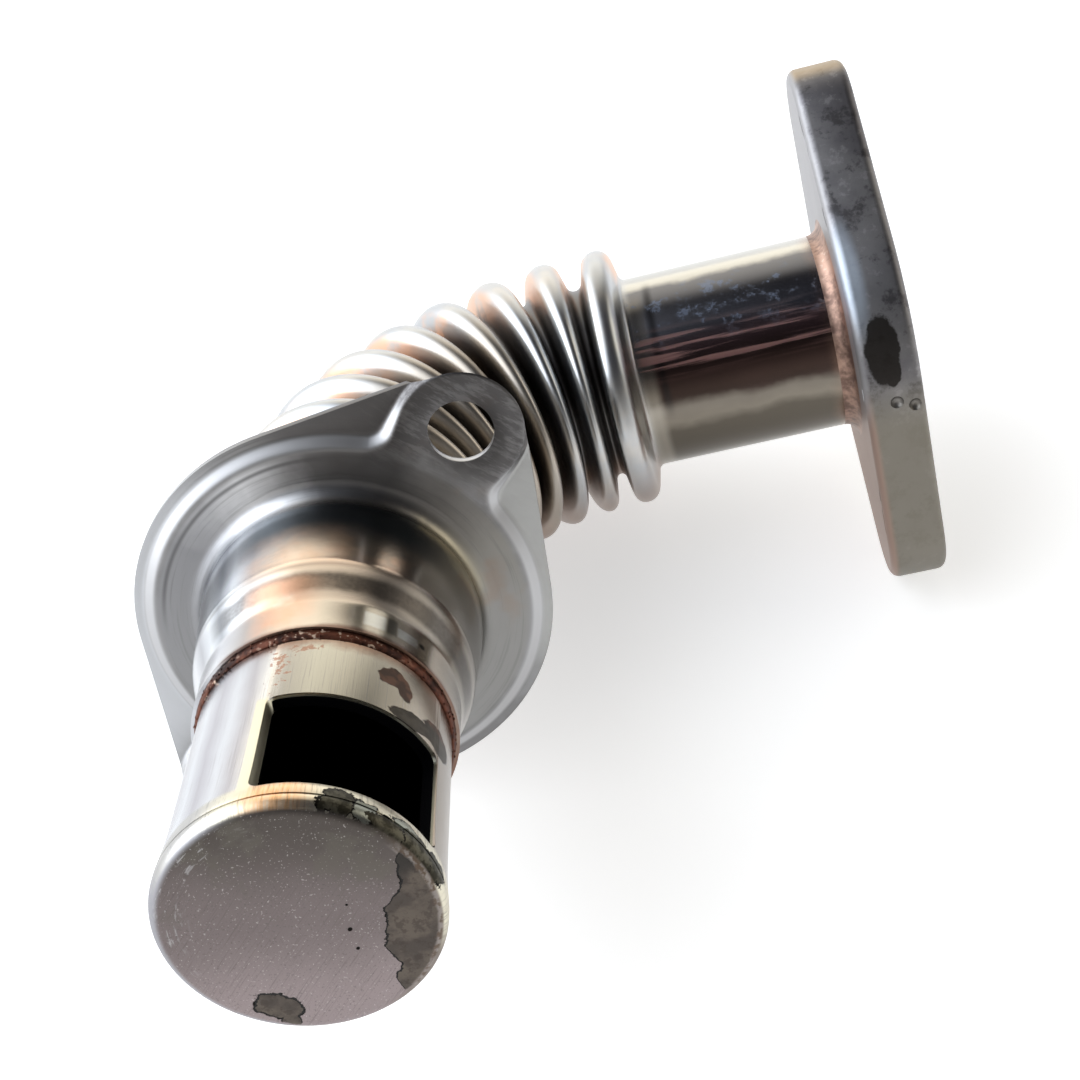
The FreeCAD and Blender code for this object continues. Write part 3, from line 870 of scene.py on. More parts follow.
@dataclass(frozen=True)
class SheetFinish:
    """Satin pressed sheet, smoother on the drawn collar, where painted reflection bands make it brighter; painted
    highlights, reflections and shade on the collar, the pad, its rim and the skirt.
    """

    steel: Colour = (0.27, 0.268, 0.27)
    ear_painted_shade: Colour = (0.085, 0.08, 0.08)
    # Painted reflection bands on the drawn collar, by angle in degrees.
    reflection_bands: tuple[tuple[float, Colour], ...] = (
        (-70.0, (0.34, 0.32, 0.29)), (-40.0, (0.20, 0.18, 0.15)), (-20.0, (0.34, 0.31, 0.27)),
        (0.0, (0.30, 0.27, 0.24)), (15.0, (0.62, 0.53, 0.44)), (45.0, (0.80, 0.68, 0.56)),
        (62.0, (0.42, 0.40, 0.39)), (72.0, (0.72, 0.74, 0.76)), (80.0, (0.34, 0.36, 0.39)),
        (88.0, (0.66, 0.69, 0.72)), (97.0, (0.36, 0.37, 0.40)), (108.0, (0.58, 0.60, 0.63)),
        (150.0, (0.60, 0.60, 0.60)), (180.0, (0.60, 0.60, 0.60)))
    # Painted reflections on the pad, by angle in degrees.
    pad_reflection_bands: tuple[tuple[float, Colour], ...] = (
        (-180.0, (0.26, 0.26, 0.26)), (-60.0, (0.26, 0.255, 0.245)), (-30.0, (0.24, 0.23, 0.21)),
        (-10.0, (0.19, 0.18, 0.17)), (12.0, (0.13, 0.127, 0.127)), (34.0, (0.19, 0.187, 0.19)),
        (48.0, (0.52, 0.52, 0.53)), (62.0, (0.66, 0.66, 0.67)), (78.0, (0.38, 0.38, 0.39)),
        (92.0, (0.25, 0.25, 0.26)), (180.0, (0.26, 0.26, 0.26)))
    # Painted reflection bands on the neck, by angle in degrees.
    neck_reflection_bands: tuple[tuple[float, Colour], ...] = (
        (-60.0, (0.28, 0.25, 0.21)), (-30.0, (0.34, 0.30, 0.25)), (-8.0, (0.36, 0.31, 0.25)),
        (4.0, (0.50, 0.46, 0.38)), (18.0, (0.42, 0.37, 0.30)), (32.0, (0.58, 0.52, 0.43)),
        (50.0, (0.56, 0.45, 0.36)), (64.0, (0.40, 0.37, 0.35)), (80.0, (0.66, 0.67, 0.70)),
        (92.0, (0.36, 0.36, 0.38)), (105.0, (0.52, 0.53, 0.56)), (180.0, (0.50, 0.50, 0.51)))
    cloudy: Colour = (0.17, 0.165, 0.165)
    turned_line: Colour = (0.07, 0.068, 0.068)
    warm_patch: Colour = (0.26, 0.20, 0.16)
    rim_line_painted_shade: Colour = (0.09, 0.088, 0.09)
    scrape: Colour = (0.16, 0.155, 0.155)
    skirt_painted_light: Colour = (0.50, 0.51, 0.53)
    skirt_painted_mid: Colour = (0.40, 0.40, 0.39)
    skirt_painted_shade: Colour = (0.13, 0.125, 0.125)
    ridge_painted_highlight: Colour = (0.52, 0.52, 0.53)
    drum_shade: Colour = (0.12, 0.145, 0.165)
    drum_warm_reflection: Colour = (0.80, 0.52, 0.36)
    foot_olive_highlight: Colour = (0.52, 0.47, 0.35)
    step_painted_shade: Colour = (0.045, 0.038, 0.034)
    step_shade_brown: Colour = (0.16, 0.125, 0.10)
    neck_warm_reflection: Colour = (0.70, 0.40, 0.26)
    tile_gap_reflection: Colour = (0.10, 0.095, 0.085)
    tile_reflection: Colour = (0.60, 0.60, 0.56)
    spot_black: Colour = (0.006, 0.006, 0.006)
    burnt_edge: Colour = (0.14, 0.065, 0.045)

    def material(self) -> bpy.types.Material:
        """Builds the material.

        Returns:
            The material.
        """
        g = Graph("pressed sheet steel")
        x, y, z = g.local(NOZZLE)
        radius = (x * x + y * y) ** 0.5
        angle = x.maths("ARCTAN2", y, x) * math.degrees(1.0)
        turn = angle * math.radians(COLLAR_RADIUS)
        at = g.place()
        cloud = g.noise(at, 110.0, 4.0, 0.6)
        fine = g.noise(at, 2600.0, 2.0)
        drawn_lines = g.noise(g.vector(turn * 0.35, z * 5.0, 0.0), 1.4, 3.0, 0.6)
        drum = radius.between(17.3, 15.7) * z.between(0.6, 2.4)
        colour = g.mix(self.steel, self.cloudy, cloud.between(0.42, 0.62) * 0.6)
        swept = g.noise(g.vector(angle * 0.02, radius * 2.0, 2.0), 1.2, 4.0, 0.65)
        # Painted reflections: the pad's colour follows the angle round the collar.
        colour = g.mix(colour, g.ramp(angle + (cloud - 0.5) * 30.0, self.pad_reflection_bands), radius.between(21.0, 20.0))
        colour = g.mix(colour, self.turned_line, (swept - 0.5).between(0.02, 0.2) * 0.22)
        colour = g.mix(colour, self.warm_patch,
                       g.noise(at, 180.0, 3.0).between(0.52, 0.66) * angle.band(-60.0, 10.0, 10.0) * 0.5)
        # Painted shade: a dark line just inside the pad's rounded rim, on one side only.
        rim_line_shade_zone = radius.band(19.6, 20.0, 0.2) * angle.band(40.0, 118.0, 12.0)
        colour = g.mix(colour, self.rim_line_painted_shade, rim_line_shade_zone * 0.7)
        # Painted shade on the ear, with lighter scraped marks in it.
        ear = (x + cloud * 6.0).between(21.0, 27.0)
        scraped = g.noise(g.vector(x * 0.4, y * 0.08, z), 3.0, 4.0, 0.7)
        colour = g.mix(colour, g.mix(self.ear_painted_shade, self.scrape, scraped.between(0.45, 0.62)), ear * 0.85)
        # Painted light and shade on the skirt: lighter on the left, mid on the right, darker toward the top.
        low = z.between(-0.66, -0.8)
        colour = g.mix(colour, self.skirt_painted_light, low * angle.band(70.0, 165.0, 14.0) * 0.85)
        colour = g.mix(colour, self.skirt_painted_mid, low * angle.band(-75.0, -6.0, 10.0) * 0.8)
        colour = g.mix(colour, self.skirt_painted_shade, low * angle.band(12.0, 50.0, 8.0) * 0.8)
        # Painted highlight along the pad's rolled ridge.
        ridge = z.band(-0.72, -0.1, 0.12) * radius.between(18.0, 19.0) * x.between(27.0, 24.0)
        colour = g.mix(colour, self.ridge_painted_highlight, ridge * 0.85)
        # Painted reflection bands round the drawn collar, then painted shade over its upper part.
        colour = g.mix(colour, g.ramp(angle, self.reflection_bands), drum)
        shade = (z + (cloud - 0.5) * 2.5).between(9.0, 4.6) * angle.band(-12.0, 70.0, 14.0)
        colour = g.mix(colour, self.drum_shade, shade * drum * 0.92)
        # Painted warm reflection on the middle of the drum.
        warm_reflection_zone = z.band(6.5, 12.5, 1.5) * drum * angle.band(-5.0, 62.0, 14.0)
        colour = g.mix(colour, self.drum_warm_reflection, warm_reflection_zone * cloud.between(0.35, 0.6) * 0.7)
        # Painted highlight: a cream-olive streak near the drum's foot.
        olive = z.band(0.7, 4.5, 0.8) * radius.between(17.6, 16.6) * angle.band(-50.0, 2.0, 12.0)
        colour = g.mix(colour, self.foot_olive_highlight, olive * cloud.between(0.36, 0.56) * 0.8)
        # Painted shade in the crease and the step of the shoulder, mottled with brown.
        rings = z.band(12.6, 13.1, 0.3) * 0.4
        mottled = (z + (cloud - 0.5) * 1.6).band(14.0, 16.4, 0.5) * angle.band(-70.0, 82.0, 12.0)
        rings = rings.highest(mottled * (0.72 + 0.28 * fine))
        colour = g.mix(colour, g.mix(self.step_painted_shade, self.step_shade_brown, cloud.between(0.5, 0.66)), rings * drum * 0.9)
        # Painted reflection bands on the neck, then a painted warm reflection on its lower part.
        neck = z.between(17.2, 18.2)
        colour = g.mix(colour, g.ramp(angle, self.neck_reflection_bands), neck)
        colour = g.mix(colour, self.neck_warm_reflection,
                       z.between(13.6, 15.0) * angle.band(36.0, 60.0, 9.0) * cloud.between(0.38, 0.6) * 0.75)
        # Painted reflection of two bright tiles on the neck, with a dark gap between them.
        first = z.band(18.6, 20.9, 0.2) * angle.band(2.2, 12.0, 0.8)
        second = z.band(19.3, 20.8, 0.2) * angle.band(-14.0, -3.6, 0.8)
        colour = g.mix(colour, self.tile_gap_reflection, z.band(18.4, 21.0, 0.3) * angle.band(-3.2, 1.6, 0.8) * 0.7)
        colour = g.mix(colour, self.tile_reflection, (first * 0.8).highest(second))
        spot = Blot(-16.4, 19.8, 1.7, 0.4).reach(angle, z).between(1.2, 0.7)
        colour = g.mix(colour, self.spot_black, spot)
        burnt = (z + cloud * 2.0).between(22.6, 23.4) * angle.between(84.0, 70.0)
        colour = g.mix(colour, self.burnt_edge, burnt * 0.8)
        rough = g.tone(0.34 + 0.12 * cloud, 0.16 + 0.1 * drawn_lines, drum)
        rough = g.tone(rough, 0.40, ridge)
        relief = fine * 0.3 + drawn_lines * drum * 0.3 + cloud * 0.3
        return g.finish(colour, rough, 1.0, relief, 0.00002, 0.5)


@dataclass(frozen=True)
class PipeFinish:
    """Polished thin pipe with heat tint, painted reflections and highlights, and painted shade in its valleys,
    underneath and inside; the piece's own attributes say where along and around it a point is.
    """

    steel: Colour = (0.47, 0.485, 0.50)
    # Painted reflection bands on the stub, by angle in degrees.
    reflection_bands: tuple[tuple[float, Colour], ...] = (
        (-120.0, (0.42, 0.41, 0.38)), (-84.0, (0.50, 0.49, 0.45)), (-78.0, (0.20, 0.20, 0.21)),
        (-44.0, (0.18, 0.18, 0.20)), (-34.0, (0.27, 0.17, 0.17)), (-22.0, (0.09, 0.055, 0.05)),
        (-3.0, (0.05, 0.035, 0.03)), (3.0, (0.17, 0.15, 0.125)), (11.0, (0.22, 0.195, 0.16)),
        (18.0, (0.12, 0.105, 0.085)), (60.0, (0.11, 0.10, 0.08)), (130.0, (0.4, 0.4, 0.4)),
        (180.0, (0.5, 0.5, 0.5)))
    tinted: Colour = (0.68, 0.60, 0.50)
    valley_painted_shade: Colour = (0.07, 0.06, 0.056)
    crest_warm_reflection: Colour = (0.74, 0.46, 0.30)
    underside_painted_shade: Colour = (0.30, 0.19, 0.13)
    root_painted_highlight: Colour = (0.36, 0.33, 0.28)
    root_dark: Colour = (0.03, 0.028, 0.028)
    tan_light: Colour = (0.40, 0.34, 0.27)
    tan_valley_shade: Colour = (0.12, 0.085, 0.06)
    red_streak_reflection: Colour = (0.36, 0.19, 0.17)
    blue_mist_reflection: Colour = (0.20, 0.24, 0.33)
    braze_heat: Colour = (0.40, 0.25, 0.18)
    bore_painted_shade: Colour = (0.02, 0.02, 0.02)

    def material(self) -> bpy.types.Material:
        """Builds the material.

        Returns:
            The material.
        """
        g = Graph("pipe steel")
        at = g.place()
        along, height, facing = g.attribute("along"), g.attribute("radius"), g.attribute("facing", 1)
        cloud = g.noise(at, 120.0, 4.0, 0.6)
        fine = g.noise(at, 1500.0, 2.0)
        rings = g.noise(g.vector(along * 7.0, 0.0, 0.0), 1.0, 3.0, 0.7)
        out = g.node("ShaderNodeSeparateXYZ", {}, (facing,))
        top = g.node("ShaderNodeSeparateXYZ", {}, (facing,), 1)
        angle = out.maths("ARCTAN2", top * -1.0, out * -1.0) * math.degrees(1.0)
        streaks = g.noise(g.vector(angle * 0.11, along * 0.02, 0.0), 1.6, 3.0, 0.6)
        stub = along.between(55.8, 57.4)
        colour = g.mix(self.steel, self.tinted, cloud.between(0.4, 0.7) * 0.4)
        # Painted shade in the valleys between the convolutions.
        valley_shade_zone = height.between(15.6, 13.4) * along.between(56.2, 54.8)
        colour = g.mix(colour, self.valley_painted_shade, valley_shade_zone * 0.85)
        # Painted warm reflection on the crests along one side.
        glow = angle.band(-150.0, -85.0, 15.0) * height.band(13.2, 16.4, 0.5)
        colour = g.mix(colour, self.crest_warm_reflection, glow * cloud.between(0.32, 0.52) * 0.85)
        # Painted shade on the underside of the pipe.
        colour = g.mix(colour, self.underside_painted_shade, angle.between(15.0, 55.0) * 0.7)
        # Painted reflections: the stub's colour follows the angle round it.
        colour = g.mix(colour, g.ramp(angle + (cloud - 0.5) * 16.0, self.reflection_bands), stub)
        # Painted highlight: a light band at the stub's root.
        colour = g.mix(colour, self.root_painted_highlight, along.band(56.4, 58.4, 0.6) * angle.between(-80.0, -60.0) * 0.6)
        colour = g.mix(colour, self.root_dark, along.band(58.9, 59.8, 0.4) * angle.band(-80.0, 0.0, 10.0) * 0.7)
        # Tan zone near the bend's start, with painted shade in its valleys.
        tan = along.between(42.0, 32.0) * angle.band(-75.0, 40.0, 15.0)
        colour = g.mix(colour, g.mix(self.tan_light, self.tan_valley_shade, height.between(15.8, 14.4)), tan * 0.75)
        # Painted reflection: reddish streaks on the stub.
        red_reflection_zone = (streaks - 0.5).between(-0.04, 0.08) * stub * angle.band(-44.0, -20.0, 6.0)
        colour = g.mix(colour, self.red_streak_reflection, red_reflection_zone * 0.85)
        # Painted reflection: blue mist in the stub's dark band.
        mist_reflection_zone = g.noise(at, 420.0, 5.0, 0.7).between(0.53, 0.64) * stub * angle.band(-75.0, -38.0, 8.0)
        colour = g.mix(colour, self.blue_mist_reflection, mist_reflection_zone * 0.75)
        heat = (along + cloud * 4.0).between(81.0, 84.5)
        colour = g.mix(colour, self.braze_heat, heat * 0.7)
        # Painted shade: the inner wall is painted near-black.
        inner = height.between(12.1, 12.0)
        colour = g.mix(colour, self.bore_painted_shade, inner)
        rough = g.tone(0.27 + 0.08 * cloud, 0.36, valley_shade_zone.highest(tan))
        rough = g.tone(rough, 0.14 + 0.1 * cloud, stub)
        rough = g.tone(rough, 0.7, inner)
        relief = fine * 0.25 + rings * 0.25 + cloud * 0.3
        metal = g.tone(1.0, 0.45, red_reflection_zone.highest(mist_reflection_zone * 0.6).highest(inner))
        return g.finish(colour, rough, metal, relief, 0.00003, 0.22)


@dataclass(frozen=True)
class FlangeFinish:
    """Thick satin flange, mottled dark, with an oily stain on its side, painted reflections on its two ends and a
    painted blue highlight along one edge.
    """

    steel: Colour = (0.145, 0.14, 0.15)
    frame: Matrix = field(default_factory=Matrix)
    light_cloud: Colour = (0.21, 0.205, 0.21)
    dark_mottle: Colour = (0.07, 0.066, 0.07)
    light_mottle: Colour = (0.31, 0.30, 0.31)
    end_olive_reflection: Colour = (0.235, 0.215, 0.175)
    end_gold_reflection: Colour = (0.46, 0.36, 0.24)
    back_face: Colour = (0.34, 0.335, 0.345)
    pink_edge: Colour = (0.33, 0.22, 0.17)
    edge_sky_highlight: Colour = (0.44, 0.50, 0.58)
    stain_dark: Colour = (0.02, 0.017, 0.015)

    def material(self) -> bpy.types.Material:
        """Builds the material.

        Returns:
            The material.
        """
        g = Graph("flange steel")
        x, y, z = g.local(self.frame)
        at = g.place()
        cloud = g.noise(at, 90.0, 5.0, 0.62)
        fine = g.noise(at, 2200.0, 2.0)
        sheared = g.noise(g.vector(x * 0.15, y * 0.15, z * 1.6), 1.6, 3.0, 0.6)
        patchy = g.noise(at, 260.0, 5.0, 0.7)
        colour = g.mix(self.steel, self.light_cloud, cloud.between(0.38, 0.62))
        colour = g.mix(colour, self.dark_mottle, patchy.between(0.5, 0.62) * 0.8)
        colour = g.mix(colour, self.light_mottle, patchy.between(0.44, 0.34) * 0.6)
        # Painted reflections: olive toward one end, gold on the other.
        colour = g.mix(colour, self.end_olive_reflection, x.between(-6.0, -14.0) * 0.8)
        colour = g.mix(colour, self.end_gold_reflection, x.between(30.5, 32.5) * 0.7)
        face = z.between(0.9, 0.1)
        colour = g.mix(colour, self.back_face, face)
        colour = g.mix(colour, self.pink_edge, z.between(1.2, 0.4) * x.between(-8.0, -14.0) * 0.8)
        # Painted highlight: a blue sky reflection along the middle of one rounded edge.
        edge_highlight_zone = Blot(5.0, 1.2, 8.0, 1.6).reach(x, z).between(1.2, 0.4) * y.between(14.0, 17.0)
        colour = g.mix(colour, self.edge_sky_highlight, edge_highlight_zone * 0.6)
        stain = nearest((Blot(-4.3, 3.0, 4.2, 1.9, 4), Blot(-6.8, 3.6, 1.8, 1.2)), x, z, (patchy - 0.5) * 1.0)
        stain = stain.between(1.1, 0.95) * y.between(15.0, 18.0)
        colour = g.mix(colour, self.stain_dark, stain * 0.95)
        rough = g.tone(0.40 + 0.15 * cloud, 0.5, stain)
        metal = 1.0 - stain * 0.1
        relief = fine * 0.3 + sheared * 0.3 + patchy * 0.6
        return g.finish(colour, rough, metal, relief, 0.00003, 0.6)


@dataclass(frozen=True)
class BrazeFinish:
    """Filler metal: rusty and lumpy at the collar, heat tinted and smooth at the stub."""

    name: str
    light: Colour
    dark: Colour
    thin: Colour
    rough: float

    def material(self) -> bpy.types.Material:
        """Builds the material.

        Returns:
            The material.
        """
        g = Graph(self.name)
        at = g.place()
        cloud = g.noise(at, 260.0, 5.0, 0.65)
        fine = g.noise(at, 1800.0, 3.0)
        wide = g.noise(at, 70.0, 2.0)
        colour = g.mix(self.dark, self.light, (cloud * 0.7 + fine * 0.3).between(0.38, 0.6))
        colour = g.mix(colour, self.thin, wide.between(0.5, 0.62) * fine.between(0.56, 0.66))
        return g.finish(colour, self.rough + 0.15 * fine, 0.85, cloud * 0.6 + fine * 0.4, 0.00006, 0.7)


RUSTY = BrazeFinish("rusty braze", light=(0.14, 0.05, 0.03), dark=(0.022, 0.01, 0.008), thin=(0.60, 0.46, 0.36),
                    rough=0.45)
TINTED = BrazeFinish("tinted braze", light=(0.40, 0.26, 0.20), dark=(0.16, 0.10, 0.08), thin=(0.48, 0.36, 0.29),
                     rough=0.34)


# Sub-assemblies


@dataclass
class Nozzle:
    """The straight tube with its window, the end cap and the bead of filler at the collar."""

    radius: float = TUBE_RADIUS
    wall: float = 1.5
    root: float = -8.5
    end: float = 46.6
    flare: float = 12.8
    flare_length: float = 7.0
    window_low: float = 32.1
    window_high: float = 45.2
    window_deg: float = 84.0
    window_turn_deg: float = 5.6
    window_corner: float = 1.0
    cap: float = 1.7
    cap_round: float = 1.2
    braze_at: float = 22.4
    braze: float = 0.38
    braze_length: float = 1.0
    segments: int = 192

    def section(self) -> list[Point]:
        """Radius and height of the wall, outside first.

        Returns:
            The points of the closed section in order.
        """
        flared = [(self.radius + (self.flare - self.radius) * t * t, self.end - self.flare_length * (1 - t))
                  for t in (k / 8 for k in range(9))]
        outside = [(self.radius, self.root)] + flared
        inside_wall = [(r - self.wall, z) for r, z in reversed(outside)]
        return outside + inside_wall

    def cutter(self) -> bpy.types.Object:
        """A block bent round the tube, in the window's shape.

        Returns:
            The block, which the cut deletes.
        """
        half = math.radians(self.window_deg / 2) * self.radius
        c = self.window_corner
        columns = [(-half + c - c * math.cos(t), c - c * math.sin(t)) for t in (math.pi / 2 * k / 6 for k in range(7))]
        middle = [(-half + c + (2 * half - 2 * c) * k / 40, 0.0) for k in range(1, 40)]
        columns = columns + middle + [(-x, cut) for x, cut in reversed(columns)]
        bm = bmesh.new()
        rings = []
        for x, cut in columns:
            a = x / self.radius + math.radians(self.window_turn_deg)
            low, high = self.window_low + cut, self.window_high - cut
            rings.append([Vector((r * math.cos(a), r * math.sin(a), z))
                          for r, z in ((8.5, low), (15.0, low), (15.0, high), (8.5, high))])
        made = loft(bm, rings)
        bm.faces.new(made[0])
        bm.faces.new(made[-1])
        return to_object(bm, "window_cutter", NOZZLE)

    def tube(self) -> bpy.types.Object:
        """The tube with its window.

        Returns:
            The dressed tube.
        """
        bm = bmesh.new()
        loft(bm, [circle(r, z, self.segments) for r, z in self.section()], looped=True)
        made = to_object(bm, "tarnished_nozzle", NOZZLE)
        cut_away(made, self.cutter())
        break_edges(made, 0.14)
        settle(made)
        return dress(made, NozzleFinish().material(), Slot.NOZZLE, "nozzle_tube")

    def lid(self) -> bpy.types.Object:
        """The end cap with its rounded rim.

        Returns:
            The dressed cap.
        """
        top = self.end + self.cap
        corner = arc((self.flare - self.cap_round, top - self.cap_round), self.cap_round, 0, 90, 8)
        foot = [(self.flare - 0.25, self.end), (self.flare - 0.07, self.end + 0.07), (self.flare, self.end + 0.25)]
        section = foot + corner + [(11.4, top), (6.0, top), (0.01, top)]
        bm = bmesh.new()
        rings = loft(bm, [circle(r, z, self.segments) for r, z in section])
        bm.faces.new(rings[0])
        bm.faces.new(rings[-1])
        made = to_object(bm, "flaked_end_cap", NOZZLE)
        settle(made)
        return dress(made, CapFinish().material(), Slot.CAP, "end_cap")

    def bead(self) -> bpy.types.Object:
        """The bead of filler, lumpy, as a ring with nodes that heap it up.

        Returns:
            The dressed bead.
        """
        bm = bmesh.new()
        r0, r1, z0 = self.radius, self.radius + self.braze, self.braze_at
        bulge = arc((r0, z0), self.braze, 0, 90, 6)
        section = [(r, z0 + (z - z0) * self.braze_length / self.braze) for r, z in bulge] + [(r0 - 0.1, z0 + 0.9),
                                                                                             (r0 - 0.1, z0)]
        loft(bm, [circle(r, z, 360) for r, z in section], looped=True)
        made = to_object(bm, "rusty_collar_braze", NOZZLE)
        Lumps(seed=4, height=0.15, count=110).heap(made, r1)
        settle(made, 80.0)
        return dress(made, RUSTY.material(), Slot.BRAZE, "collar_braze")

    def build(self) -> list[bpy.types.Object]:
        """Builds the three pieces."""
        return [self.tube(), self.lid(), self.bead()]


class NodeTree:
    """A Geometry Nodes tree under construction, with named inputs."""

    def __init__(self, name: str) -> None:
        """Makes the tree with its geometry in and out.

        Args:
            name: the tree's name.
        """
        self.tree = bpy.data.node_groups.new(name, "GeometryNodeTree")
        self.tree.interface.new_socket("Geometry", in_out="INPUT", socket_type="NodeSocketGeometry")
        self.tree.interface.new_socket("Geometry", in_out="OUTPUT", socket_type="NodeSocketGeometry")
        self.values: dict[str, Any] = {}
        self.entry = self.tree.nodes.new("NodeGroupInput")
        self.exit = self.tree.nodes.new("NodeGroupOutput")

    def number(self, name: str, value: Any) -> bpy.types.NodeSocket:
        """Adds a named input, a whole or a real number.

        Args:
            name: its name.
            value: what the modifier sets it to.

        Returns:
            Its socket inside the tree.
        """
        kind = "NodeSocketInt" if isinstance(value, int) else "NodeSocketFloat"
        made = self.tree.interface.new_socket(name, in_out="INPUT", socket_type=kind)
        self.values[made.identifier] = value
        return self.entry.outputs[name]

    def node(self, kind: str, settings: dict[str, Any], inputs: dict[Any, Any],
             output: Any = 0) -> bpy.types.NodeSocket:
        """Makes one node.

        Args:
            kind: its type.
            settings: its properties.
            inputs: values or sockets by number or name.
            output: which output to give.

        Returns:
            That output.
        """
        made = self.tree.nodes.new(kind)
        for key, value in settings.items():
            setattr(made, key, value)
        for key, value in inputs.items():
            if isinstance(value, bpy.types.NodeSocket):
                self.tree.links.new(value, made.inputs[key])
            else:
                made.inputs[key].default_value = value
        return made.outputs[output]

    def maths(self, operation: str, *values: Any) -> bpy.types.NodeSocket:
        """A Math node's result."""
        return self.node("ShaderNodeMath", {"operation": operation}, dict(enumerate(values)))

    def close(self, shape: bpy.types.NodeSocket, material: bpy.types.Material | None = None) -> None:
        """Ends the tree with Realize Instances and Set Material.

        Args:
            shape: the geometry so far.
            material: what Set Material gives it.
        """
        real = self.node("GeometryNodeRealizeInstances", {}, {0: shape})
        done = self.node("GeometryNodeSetMaterial", {}, {"Geometry": real, "Material": material})
        self.tree.links.new(done, self.exit.inputs[0])

    def apply(self, thing: bpy.types.Object) -> None:
        """Puts the tree on an object with its inputs set.

        Args:
            thing: the object, not evaluated yet.
        """
        modifier = thing.modifiers.new("nodes", "NODES")
        modifier.node_group = self.tree
        for identifier, value in self.values.items():
            modifier[identifier] = value


@dataclass
class Lumps:
    """Small rounded lumps scattered over a bead of filler."""

    seed: int
    height: float
    count: int

    def heap(self, thing: bpy.types.Object, radius: float) -> None:
        """Scatters lumps on the object.

        Args:
            thing: the ring.
            radius: its outer radius in millimetres, which sets how thickly the lumps lie.
        """
        t = NodeTree("filler lumps")
        seed = t.number("Seed", self.seed)
        size = t.number("Lump Radius", self.height * METRE)
        density = t.number("Lumps Per Square Metre", self.count / (math.tau * radius * METRE * METRE))
        points = t.tree.nodes.new("GeometryNodeDistributePointsOnFaces")
        t.tree.links.new(t.entry.outputs["Geometry"], points.inputs["Mesh"])
        t.tree.links.new(density, points.inputs["Density"])
        t.tree.links.new(seed, points.inputs["Seed"])
        ball = t.node("GeometryNodeMeshIcoSphere", {}, {"Radius": size, "Subdivisions": 2})
        scale = t.node("FunctionNodeRandomValue", {"data_type": "FLOAT"}, {2: 0.35, 3: 1.0, "Seed": seed}, 1)
        placed = t.node("GeometryNodeInstanceOnPoints", {}, {"Points": points.outputs["Points"], "Instance": ball,
                                                            "Rotation": points.outputs["Rotation"], "Scale": scale})
        both = t.tree.nodes.new("GeometryNodeJoinGeometry")
        t.tree.links.new(placed, both.inputs[0])
        t.tree.links.new(t.entry.outputs["Geometry"], both.inputs[0])
        t.close(both.outputs[0])
        t.apply(thing)


